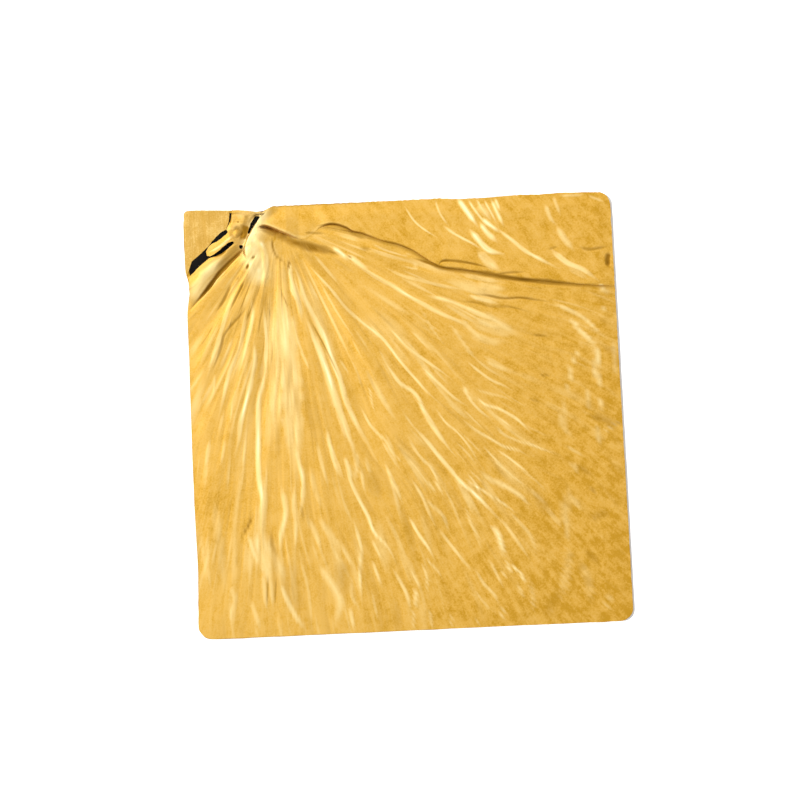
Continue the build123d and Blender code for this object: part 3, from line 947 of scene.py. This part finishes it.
# Values kept at the top leaf's points for its finish, its painted highlight and its painted shade,
# radius of its right corner at the head, and the wide swell of the sheet, in millimetres
LEAF_VALUES = ("painted_highlight", "painted_shade", "tone", "turn", "away", "crease_shade", "coarse")
HEAD_RADIUS = 2.4
LEAST_HEIGHT = 0.03
SWELL_RISE = 0.12
SWELL_PITCH = 17
# Within this distance from its edges the leaf settles down towards the block
EDGE_SETTLE = 3.0


def leaf_shares(x, y):
    """How far points are from the leaf's left side and from its head, as shares of its side."""
    return (x - LEFT) / LEAF_SIDE, (TOP - y) / LEAF_SIDE


def fan_frame(x, y):
    """Direction from the fan's centre, measured from straight down, and distance from it."""
    dx, dy = x - FAN_CENTRE[0], y - FAN_CENTRE[1]
    return np.arctan2(dx, -dy), np.hypot(dx, dy)


def fan_streaks(x, y, width, length, seed):
    """Noise from -1 to 1 in streaks along the pleats, as wide near the centre as far out."""
    turn, away = fan_frame(x, y)
    away = np.maximum(away, 1.0)
    turn = turn + 0.05 * cloud(x / 16, y / 16, seed + 60)
    level = np.log2(away)
    value = np.zeros(x.shape)
    for step in range(int(level.max()) + 2):
        weight = np.clip(1 - np.abs(level - step), 0, 1)
        value += weight * cloud(turn * 2**step / width + 100, away / length, seed + step)
    return value


def tone_of(x, y):
    """Tone of the gold: paler at the left and deeper at the lower right as painted light from the left,
    mottled at random.
    """
    across, down = leaf_shares(x, y)
    tone = 0.9 - 0.47 * across - 0.17 * ease(across + down, 1.1, 1.9)
    mottle = cloud(x / 1.1, y / 1.1, 73) + cloud(x / 0.55, y / 0.55, 74)
    tone += 0.2 * ease(across + 0.4 * down, 0.85, 1.3) * mottle
    tone -= 0.28 * ease(down, 0.52, 0.66) * (1 - ease(down, 0.72, 0.86)) * (1 - ease(across, 0.06, 0.18))
    return tone + 0.10 * cloud(x / 7, y / 7, 71) + 0.07 * cloud(x / 2.6, y / 2.6, 72)


def coarse_of(x, y):
    """How much coarser the mottling is: most at the lower right."""
    across, down = leaf_shares(x, y)
    return 0.35 * ease(across + 0.4 * down, 0.75, 1.2)


def mound(x, y, pixels, width, rise, power=0.5):
    """A rounded roll along a line of the photograph."""
    away, side, along, run = line_frame(x, y, on_sheet(pixels))
    return rise * np.clip(1 - (away / (width * PIXEL)) ** 2, 0, 1) ** power


# The gather, by pixels of the photograph: crease of the rolled strip, tongue in the tear, band from
# the head down to the bulge, and the bulge's outer edge, body, middle of painted highlight, ridge and lobe
STRIP_WIDTH = 3.0
STRIP_RISE = 0.7
TONGUE = ((209, 252), (217, 249), (226, 242.5), (238, 233))
HEAD_BAND = ((236, 214), (240, 224), (238, 234))
STRIP_CREASE = ((247, 248), (234, 259), (226, 266.8), (217, 277), (207, 290.4), (191, 309))
BULGE_EDGE = (
    (268, 207), (262, 213.5), (257.3, 221.8), (254, 227), (250.4, 232.8), (246.8, 240), (243.8, 248.6),
    (244.2, 254), (246.4, 259), (250, 266),
)
BULGE_BODY = (
    (270, 212), (262, 221), (257.5, 230), (252.5, 242), (250.5, 253), (253, 264),
)
BULGE_HIGHLIGHT = (
    (261, 219), (256, 228), (252.5, 238), (252, 250), (255.5, 262), (259, 274),
)
BULGE_RIDGE = ((256, 236), (263, 247), (265.4, 258), (265.8, 270), (264, 283))
BULGE_LOBE = ((266, 236), (270, 248), (274, 258), (281, 267))


def swell(x, y, pixels, width, rise):
    """A soft swelling along a line of the photograph, its width in pixels."""
    away = line_frame(x, y, smooth_line(pixels))[0]
    return rise * np.exp(-((away / (width * PIXEL)) ** 2))


def gather_forms(x, y, height):
    """The bulge, the rolled strip along the tear and the tongue in it."""
    away, side, along, run = line_frame(x, y, smooth_line(STRIP_CREASE))
    roll = 1 - (1 - np.clip(away / STRIP_WIDTH, 0, 1)) ** 3.6
    strip = np.where(side < 0, roll * (1 - 0.6 * ease(away, 2.4, 6.0)), 0)
    strip = strip * (1 - ease(along, 0.93 * run, run))
    height = height * (0.8 + 0.2 * ease(away, 0.0, 0.5)) + STRIP_RISE * strip * ease(along, 0.0, 1.5)
    height = np.maximum(height, mound(x, y, TONGUE, 4.5, 0.42, 0.6))
    band = ease(mound(x, y, HEAD_BAND, 12.0, 1.0, 1.0), 0.0, 0.6)
    height += 0.25 * band + 0.05 * band * facets(x / 0.62, y / 0.62, 83)
    edge = smooth_line(BULGE_EDGE)[::-1]
    body = swell(x, y, BULGE_BODY, 13.0, 0.8) + swell(x, y, BULGE_LOBE, 11.0, 0.3)
    lower_end = ease(y, edge[0, 1] + 0.6, edge[0, 1] + 2.8)
    body *= 1 - lower_end + lower_end * ease(x - np.interp(y, edge[:, 1], edge[:, 0]), -0.2, 0.4)
    crumple = 0.07 * np.clip(body, 0, 0.8) * facets(x / 0.75, y / 1.1, 84)
    return height + body + crumple + swell(x, y, BULGE_RIDGE, 3.0, 0.18)


def marks(x, y, inner=1.0):
    """Rise, painted highlight and painted shade of the streaks, from 0 to 1."""
    rise, highlight, painted_shade = np.zeros(x.shape), np.zeros(x.shape), np.zeros(x.shape)
    for width, depth, pixels in HIGHLIGHT_STREAKS:
        mark = streak(x, y, width, pixels)
        rise += 0.015 * min(width, 5) * depth * mark
        highlight = np.maximum(highlight, depth * mark * inner)
    for width, depth, pixels in SHADE_STREAKS:
        mark = streak(x, y, width, pixels)
        rise -= 0.05 * min(width, 6) * depth * mark
        painted_shade = np.maximum(painted_shade, depth * mark)
        highlight *= 1 - 0.7 * depth * mark
    return rise, highlight, painted_shade


def fold_opening(x):
    """How far the fold stands open, from 0 to 1."""
    places = on_sheet([(across, FOLD_OPENING_ROW) for across, share in FOLD_OPENING])
    return np.interp(x, places[:, 0], [share for across, share in FOLD_OPENING])


def crinkle(x, y, amount):
    """Small facets that lie every way."""
    return amount * (0.020 * facets(x / 1.3, y / 1.3, 51) + 0.010 * facets(x / 0.75, y / 0.75, 52))


def field_relief(x, y, under=1.0):
    """Height of the pleated field above the block, with its painted highlight and painted shade from 0 to 1.
    """
    away_fold, side, along, run = line_frame(x, y, smooth_line(FOLD))
    turn, away = fan_frame(x, y)
    across, down = leaf_shares(x, y)
    height = 0.32 + SWELL_RISE * cloud(x / SWELL_PITCH, y / SWELL_PITCH, 41)
    # pleats from the centre, broad and narrow, that fade towards the right, the tail and the left edge
    strength = (1 - 0.55 * ease(across, 0.62, 0.85)) * ease(away, 5.5, 11)
    strength *= (1 - 0.4 * ease(down, 0.6, 0.85)) * (1 - 0.6 * ease(across + 0.6 * down, 1.05, 1.3))
    rise = np.minimum(away, 12) ** 0.6
    rise *= 0.62 + 0.38 * ease(across, 0.08, 0.4)
    for pitch, length, tall, seed in ((0.13, 30.0, 0.045, 21), (0.06, 19.0, 0.022, 22)):
        height += facets(turn / pitch + 50, away / length, seed) * tall * rise * strength
    medium = fan_streaks(x, y, 1.5, 13.0, 23)
    fine = fan_streaks(x, y, 0.6, 7.0, 33)
    height += (0.05 * medium + 0.03 * fine) * strength
    # painted highlight along the crests of the broad and narrow streaks
    highlight = 0.4 * ease(medium, 0.35, 1.0) * strength + 0.35 * ease(fine, 0.3, 0.9) * strength
    uneven = 0.85 + 0.15 * cloud(x / 0.8, y / 0.8, 26)
    # painted highlight over the middle of the bulge
    bulge_highlight = np.clip(swell(x, y, BULGE_HIGHLIGHT, 9.5, 1.3), 0, 1) * uneven
    highlight = np.maximum(highlight, 0.82 * bulge_highlight)
    # painted shade in the troughs of the streaks
    painted_shade = 0.14 * ease(-medium, 0.3, 0.9) * strength + 0.12 * ease(-fine, 0.2, 0.9) * strength
    rise, lines_highlight, lines_shade = marks(x, y, 0.8 + 0.35 * fine)
    height = gather_forms(x, y, height + rise)
    # it dips where it passes under the smooth flap, and painted shadow darkens it there
    start = on_sheet(FLAP_START)
    past_start = x - np.interp(y, start[:, 1], start[:, 0])
    covered = under * ease(past_start, 0.1, 1.4)
    opening = fold_opening(x)
    dip = (1 - ease(-away_fold * side, -0.1, 0.15 + 0.5 * opening)) * covered
    height += (0.10 + 0.08 * ease(across, 0.3, 0.6) - height) * dip * (0.03 + 0.97 * opening)
    highlight, painted_shade = np.maximum(highlight, lines_highlight), np.maximum(painted_shade, lines_shade)
    cave = ease(past_start, 0.6, 4.0)
    shadow = (0.3 + 0.3 * cave) * opening * covered * (1 - ease(-away_fold * side, 0.0, 0.8))
    painted_shade = np.maximum(painted_shade, shadow)
    height += crinkle(x, y, 0.5 + 1.3 * ease(across, 0.55, 0.9))
    return height, np.clip(highlight, 0, 1), np.clip(painted_shade, 0, 1)


FLAP_ROWS = 100
FLAP_COLUMNS = 430
FLAP_GRAIN = radians(-52)
# Lip of the flap along the fold, in millimetres: its rise, its rolled edge and how fast it fades
LIP_AT_GATHER = 0.95
LIP_BEYOND = 0.16
LIP_ROLL = 0.45
LIP_FADE = 5.5
# How far above the field the flap lies where it grows out of it
LAP = 0.02


def make_flap():
    """The smooth part of the top leaf, from the fold up to the head of the sheet."""
    fold = smooth_line(FOLD)
    start = on_sheet(FLAP_START)
    row = (np.arange(FLAP_ROWS) / (FLAP_ROWS - 1))[:, None] ** 1.3
    left = np.interp(row, (start[:, 1] - start[0, 1]) / (start[-1, 1] - start[0, 1]), start[:, 0])
    x = left + (RIGHT - left) * np.linspace(0, 1, FLAP_COLUMNS)[None, :]
    low = np.interp(x, fold[:, 0], fold[:, 1])
    past = np.clip(x - (RIGHT - HEAD_RADIUS), 0, HEAD_RADIUS)
    high = TOP - HEAD_RADIUS + np.sqrt(HEAD_RADIUS**2 - past**2) + 0.05 * cloud(x / 0.5, 0 * x, 61)
    high -= head_dip(x)
    y = low + (high - low) * row
    x = x + 0.05 * ease(x, RIGHT - 1, RIGHT) * cloud(y / 0.5, 0 * y, 62)
    away = y - low
    from_gather = ease(x, x[0, 0] - 3, x[0, 0] + 22)
    opening = fold_opening(x)
    apart = np.clip(3 * opening, 0, 1)
    lip = (LIP_AT_GATHER + (LIP_BEYOND - LIP_AT_GATHER) * from_gather) * (0.08 + 0.92 * opening)
    roll = np.sqrt(1 - (1 - np.clip(away / LIP_ROLL, 0, 1)) ** 2)
    roll = 1 - (1 - roll) * apart
    height = 0.37 + SWELL_RISE * cloud(x / SWELL_PITCH, y / SWELL_PITCH, 41) + lip * np.exp(-away / LIP_FADE)
    rise, highlight, painted_shade = marks(x, y)
    grain_across = x * sin(-FLAP_GRAIN) + y * cos(FLAP_GRAIN)
    grain_along = x * cos(FLAP_GRAIN) + y * sin(FLAP_GRAIN)
    height += rise + 0.05 * facets(grain_across / 4.5, grain_along / 16, 43) + crinkle(x, y, 0.8)
    # painted shade along the head edge, at the left of the flap
    painted_shade = np.maximum(painted_shade, 0.42 * (1 - ease(high - y, 0.0, 0.3)) * ease(-x, 3.0, 9.0))
    edge_away = np.minimum(high - y, RIGHT - x)
    height = 0.14 + (height * roll - 0.14) * (0.55 + 0.45 * ease(edge_away, 0.0, EDGE_SETTLE))
    # painted highlight along the rolled lip, near the gather
    highlight = np.maximum(highlight, 0.35 * np.exp(-(((away - LIP_ROLL) / 0.3) ** 2)) * (1 - from_gather))
    # it grows out of the gather without a seam
    from_start = ease(x - left, 0.0, 2.6)
    plain, plain_highlight, plain_shade = field_relief(x, y, 0.0)
    rising = from_start * (apart + (1 - apart) * ease(away, 0.0, 2.5))
    height = plain + LAP + (height - plain - LAP) * rising
    highlight = plain_highlight + (highlight - plain_highlight) * from_start
    painted_shade = plain_shade + (painted_shade - plain_shade) * from_start
    points = np.stack([x, y, BLOCK_TOP + np.maximum(height, 0.1)], -1).reshape(-1, 3)
    index = np.arange(FLAP_ROWS * FLAP_COLUMNS).reshape(FLAP_ROWS, FLAP_COLUMNS)
    quads = np.stack([index[:-1, :-1], index[:-1, 1:], index[1:, 1:], index[1:, :-1]], -1)
    tone = tone_of(x, y) - 0.13 * ease(x, -26, -16) * (1 - ease(x, -2, 12))
    # thin lines of painted shade along the pleats, where the flap grows out of the gather only
    crease_shade = 0.25 * (1 - from_start)
    values = (highlight, painted_shade, tone, grain_across / 1.2, grain_along / 7, crease_shade, coarse_of(x, y))
    flat = [each.ravel() for each in values]
    flap = new_mesh("smooth_flap", points, [quads.reshape(-1, 4)], TOP_GOLD, zip(LEAF_VALUES, flat))
    return belongs(flap, "top_leaf")


FAN_ROWS = 100
FAN_COLUMNS = 980

# How far the pleated field goes on under the flap, from the right edge to the gather
UNDER_FLAP = (
    (625, 277), (585, 275), (547, 272), (506, 268), (463, 259), (438, 256), (397, 235), (361, 224),
    (334, 215), (306, 212), (288, 210), (276, 206),
)


def fan_density(turns):
    """More points where the pleats are fine, from the right round to straight down, and at the tear."""
    degrees = np.degrees(turns)
    down_right = np.clip(1 - np.abs(degrees - 310) / 45, 0, 1)
    tear = np.clip(1 - np.abs(degrees - 200) / 30, 0, 1)
    upper = (degrees > 15) & (degrees < 165)
    return np.where(upper, 0.6, 1.0) + 0.35 * down_right + 1.0 * tear


def make_field():
    """The pleated part of the top leaf, from the tear and the fold to the tail of the sheet."""
    square = sheet_outline((HEAD_RADIUS, 0.6, 2.6, 2.4))
    under = on_sheet(UNDER_FLAP)
    head = TOP - head_dip(under[-1, 0])
    kept = ~((square[:, 0] > under[-1, 0]) & (square[:, 1] > under[0, 1]))
    outline = np.vstack([under[:-1], [(under[-1, 0], head)], square[kept]])
    outline[0] = (RIGHT, under[0, 1])
    outline = ragged(outline, 0.6, 0.04, 31)
    # the tear, the crescent and the spot are cut open, so that the black sheet beneath shows through them as
    # painted shadow
    gaps = [ragged(on_sheet(edge), 0.35, 0.04, 32) for edge in (TEAR_EDGE, CRESCENT, SHADOW_SPOT)]
    x, y = fan_grid(outline, FAN_CENTRE, FAN_ROWS, FAN_COLUMNS, 0.25, fan_density)
    keep = cut_gaps(x, y, FAN_ROWS, FAN_COLUMNS, gaps)
    height, highlight, painted_shade = field_relief(x, y)
    edge_away = nearest_on(x, y, square)[0]
    ripple = 0.14 + 0.08 * cloud(x / 3, y / 3, 91)
    height = ripple + (height - ripple) * (0.55 + 0.45 * ease(edge_away, 0.0, EDGE_SETTLE))
    points = np.stack([x, y, BLOCK_TOP + np.maximum(height, LEAST_HEIGHT)], -1)
    faces = [part[keep[part].all(axis=1)] for part in fan_faces(FAN_ROWS, FAN_COLUMNS)]
    turn, away = fan_frame(x, y)
    # thin lines of painted shade along the pleats, at the left of the fan only
    crease_shade = 0.65 * (1 - ease(x, LEFT + 0.2 * LEAF_SIDE, LEFT + 0.31 * LEAF_SIDE))
    crease_shade *= ease(away, 4.0, 9.0) * (1 - 0.8 * ease(away, 20.0, 34.0))
    values = (highlight, painted_shade, tone_of(x, y), turn * 12, away / 6, crease_shade, coarse_of(x, y))
    field = new_mesh("gathered_leaf", points, faces, TOP_GOLD, zip(LEAF_VALUES, values))
    return belongs(field, "top_leaf")


CORNER_ROWS = 26
CORNER_COLUMNS = 150
# Middle of the corner's mesh, from the leaf's top left corner
CORNER_MIDDLE = (2.2, -5.0)


def make_torn_corner():
    """The corner that tore off and stayed flat."""
    edge = on_sheet(CORNER_EDGE)
    square = sheet_outline((0.0, 0.9, 0.0, 0.0))
    corner = square[(square[:, 0] < edge[0, 0]) & (square[:, 1] > edge[-1, 1])]
    edge[0, 1], edge[-1, 0] = TOP - head_dip(edge[0, 0]), LEFT
    outline = ragged(np.vstack([edge[::-1], corner]), 0.3, 0.03, 33)
    centre = np.array([LEFT + CORNER_MIDDLE[0], TOP + CORNER_MIDDLE[1]])
    x, y = fan_grid(outline[::-1], centre, CORNER_ROWS, CORNER_COLUMNS, 0.0, np.ones_like)
    height = 0.10 + 0.04 * cloud(x / 2.5, y / 6, 44) + 0.02 * facets(x / 0.9, y / 2.5, 45)
    points = np.stack([x, y, BLOCK_TOP + np.maximum(height, LEAST_HEIGHT)], -1)
    # painted highlight in streaks at random
    highlight = 0.5 * ease(cloud(x / 1.1 + 30, y / 5, 46), 0.2, 1.0)
    values = (highlight, 0 * x, 0.5 + 0.25 * cloud(x / 1.6, y / 2.4, 47), x / 0.9, y / 6, 0 * x, 0 * x)
    faces = fan_faces(CORNER_ROWS, CORNER_COLUMNS)
    piece = new_mesh("torn_off_corner", points, faces, CORNER_GOLD, zip(LEAF_VALUES, values))
    return belongs(piece, "torn_corner")


# Sheets of the block, all made by one tree of nodes
PULL_REACH = 6.0
EDGE_NOISE_SCALE = 400.0
WELD_REACH = 1e-6


def pulled_in(tree, along, beyond, places, depths):
    """How far a sheet's side is pulled in, by place along it and distance from it."""
    curve_node = add(tree, "ShaderNodeFloatCurve")
    share_along = scaled(tree, along, 0.0, 1.0, places[0] * MM, places[-1] * MM)
    tree.links.new(share_along, curve_node.inputs["Value"])
    curve = curve_node.mapping.curves[0]
    shares = (places - places[0]) / (places[-1] - places[0])
    levels = depths / depths.max()
    curve.points[0].location, curve.points[1].location = (0.0, levels[0]), (1.0, levels[-1])
    for share, level in list(zip(shares, levels))[1:-1]:
        curve.points.new(share, level)
    for point in curve.points:
        point.handle_type = "VECTOR"
    curve_node.mapping.update()
    near = scaled(tree, beyond, 1.0, 0.0, 0.0, PULL_REACH * MM)
    return math(tree, "MULTIPLY", math(tree, "MULTIPLY", curve_node.outputs[0], near), depths.max() * MM)


def sheet_tree():
    """A thin sheet with round corners, its edge not quite straight."""
    size, whole = "NodeSocketFloat", "NodeSocketInt"
    tree, entry, leave = new_group(
        "laid_sheet", "GeometryNodeTree",
        (("Width", size, 0.08), ("Length", size, 0.08), ("Corner Radius", size, 0.0024),
         ("Thickness", size, 0.0001), ("Middle", "NodeSocketVector", (0.0, 0.0, 0.0)),
         ("Unevenness", size, 0.0002), ("Turn", size, 0.0), ("Seed", size, 0.0),
         ("Divisions", whole, 44), ("Finish", "NodeSocketMaterial", None)),
        (("Sheet", "NodeSocketGeometry"),),
    )
    given = entry.outputs
    count = math(tree, "ADD", given["Divisions"], 1.0)
    grid = add(tree, "GeometryNodeMeshGrid", 2.0, 2.0, count, count).outputs[0]
    place = add(tree, "GeometryNodeInputPosition").outputs[0]
    # closer together towards the edges, from -1 to 1
    inward = vector(tree, "SUBTRACT", (1.0, 1.0, 0.0), vector(tree, "ABSOLUTE", place))
    parts = add(tree, "ShaderNodeSeparateXYZ", inward).outputs
    spread = add(
        tree, "ShaderNodeCombineXYZ", *[
            math(tree, "SUBTRACT", 1.0, math(tree, "POWER", math(tree, "MAXIMUM", part, 0.0), 1.8))
            for part in (parts["X"], parts["Y"])
        ]
    ).outputs[0]
    sides = add(tree, "ShaderNodeCombineXYZ", given["Width"], given["Length"]).outputs[0]
    half = vector(tree, "MULTIPLY", sides, (0.5, 0.5, 0.0))
    spread = vector(tree, "MULTIPLY", spread, half)
    # a corner's square of points is drawn in to its quarter circle
    radius = add(tree, "ShaderNodeCombineXYZ", given["Corner Radius"], given["Corner Radius"]).outputs[0]
    past = vector(tree, "SUBTRACT", spread, vector(tree, "SUBTRACT", half, radius))
    past = vector(tree, "MAXIMUM", past, (0.0, 0.0, 0.0))
    past_parts = add(tree, "ShaderNodeSeparateXYZ", past).outputs
    longest = math(tree, "MAXIMUM", past_parts["X"], past_parts["Y"])
    length = add(tree, "ShaderNodeVectorMath", past, operation="LENGTH").outputs["Value"]
    share = math(tree, "DIVIDE", longest, math(tree, "MAXIMUM", length, SLACK))
    lost = vector_scaled(tree, past, math(tree, "SUBTRACT", 1.0, share))
    place = vector(tree, "MULTIPLY", vector(tree, "SUBTRACT", spread, lost), vector(tree, "SIGN", place))
    # the head and the left side are pulled in beside the gather, in every sheet alike
    parts = add(tree, "ShaderNodeSeparateXYZ", place).outputs
    middle = add(tree, "ShaderNodeSeparateXYZ", given["Middle"]).outputs
    beyond = vector(tree, "SUBTRACT", half, place)
    before = vector(tree, "ADD", half, place)
    beyond, before = [add(tree, "ShaderNodeSeparateXYZ", gap).outputs for gap in (beyond, before)]
    down = pulled_in(tree, math(tree, "ADD", parts["X"], middle["X"]), beyond["Y"], *head_dips())
    rightward = pulled_in(tree, math(tree, "ADD", parts["Y"], middle["Y"]), before["X"], *left_dips())
    pull = add(tree, "ShaderNodeCombineXYZ", rightward, math(tree, "MULTIPLY", down, -1.0)).outputs[0]
    place = vector(tree, "ADD", place, pull)
    noise = add(tree, "ShaderNodeTexNoise", place, noise_dimensions="4D")
    tree.links.new(given["Seed"], noise.inputs["W"])
    noise.inputs["Scale"].default_value = EDGE_NOISE_SCALE
    drift = vector(tree, "SUBTRACT", noise.outputs["Color"], (0.5, 0.5, 0.5))
    drift = vector(tree, "MULTIPLY", drift, (1.0, 1.0, 0.0))
    place = vector(tree, "ADD", place, vector_scaled(tree, drift, given["Unevenness"]))
    bottom = add(tree, "GeometryNodeSetPosition", grid, None, place).outputs[0]
    top = add(tree, "GeometryNodeExtrudeMesh", bottom)
    top.inputs["Offset"].default_value = (0.0, 0.0, 1.0)
    top.inputs["Individual"].default_value = False
    tree.links.new(given["Thickness"], top.inputs["Offset Scale"])
    under = add(tree, "GeometryNodeFlipFaces", bottom).outputs[0]
    joined = add(tree, "GeometryNodeJoinGeometry")
    tree.links.new(under, joined.inputs[0])
    tree.links.new(top.outputs[0], joined.inputs[0])
    closed = add(tree, "GeometryNodeMergeByDistance", joined.outputs[0])
    closed.inputs["Distance"].default_value = WELD_REACH
    turned = add(tree, "ShaderNodeCombineXYZ", 0.0, 0.0, given["Turn"]).outputs[0]
    laid = add(tree, "GeometryNodeTransform", closed.outputs[0])
    tree.links.new(given["Middle"], laid.inputs["Translation"])
    tree.links.new(turned, laid.inputs["Rotation"])
    real = add(tree, "GeometryNodeRealizeInstances", laid.outputs[0]).outputs[0]
    finished = add(tree, "GeometryNodeSetMaterial", real, None, given["Finish"]).outputs[0]
    tree.links.new(finished, leave.inputs["Sheet"])
    return tree


def lay_sheet(tree, node, name, material, slot, below, seed, radius, uneven, slip):
    """One sheet of the block in the place of its node, slipped and turned by a hair's breadth."""
    low, high = [np.array(corner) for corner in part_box(node)]
    rng = np.random.default_rng(seed)
    slide = rng.uniform(-slip, slip, 2) * MM
    middle = (*(low + high)[:2] / 2 + slide, low[2])
    values = {
        "Width": high[0] - low[0], "Length": high[1] - low[1], "Thickness": high[2] - low[2],
        "Corner Radius": radius * MM, "Middle": middle, "Unevenness": uneven * MM,
        "Turn": radians(rng.uniform(-slip, slip)), "Seed": float(seed), "Finish": material,
    }
    maker = bpy.data.objects.new(f"{name}_maker", bpy.data.meshes.new(f"{name}_maker"))
    bpy.context.scene.collection.objects.link(maker)
    modifier = maker.modifiers.new("laid_sheet", "NODES")
    modifier.node_group = tree
    for item in tree.interface.items_tree:
        if item.in_out == "INPUT" and item.name in values:
            modifier[item.identifier] = values[item.name]
    graph = bpy.context.evaluated_depsgraph_get()
    mesh = bpy.data.meshes.new_from_object(maker.evaluated_get(graph))
    bpy.data.objects.remove(maker)
    mesh.name = name
    piece = bpy.data.objects.new(name, mesh)
    bpy.context.scene.collection.objects.link(piece)
    belongs(piece, node)
    return piece


# Seed, corner radius, unevenness and slip of each kind of sheet, the last three in millimetres
BACKING_LAY = (100, 2.2, 0.25, 0.0)
BLACK_SEED, BLACK_LAY = 200, (1.9, 0.2, 0.1)
GOLD_SEED, GOLD_LAY = 300, (2.4, 0.35, 0.12)
BLACK_SHEETS = 10


def lay_block():
    """The backing sheet, and on it the flat leaves and the interleaves, whose black stands in for the deep
    shadow seen through the tears.
    """
    tree = sheet_tree()
    below = [lay_sheet(tree, "backing_sheet", "pale_card", PALE_PAPER, "pale_backing", (), *BACKING_LAY)]
    for number in range(1, BLACK_SHEETS + 1):
        below = [lay_sheet(
            tree, f"interleaf_{number:02d}", f"black_sheet_{number:02d}", SHADOW_BLACK_PAPER, "black_interleaf",
            below, BLACK_SEED + number, *BLACK_LAY,
        )]
        if number < BLACK_SHEETS:
            below = [lay_sheet(
                tree, f"leaf_{number:02d}", f"flat_leaf_{number:02d}", FLAT_GOLD, "gold_leaf",
                below, GOLD_SEED + number, *GOLD_LAY,
            )]
    return below


make_camera()
make_light()
make_floor()
top_sheet = lay_block()
field, flap, corner = make_field(), make_flap(), make_torn_corner()
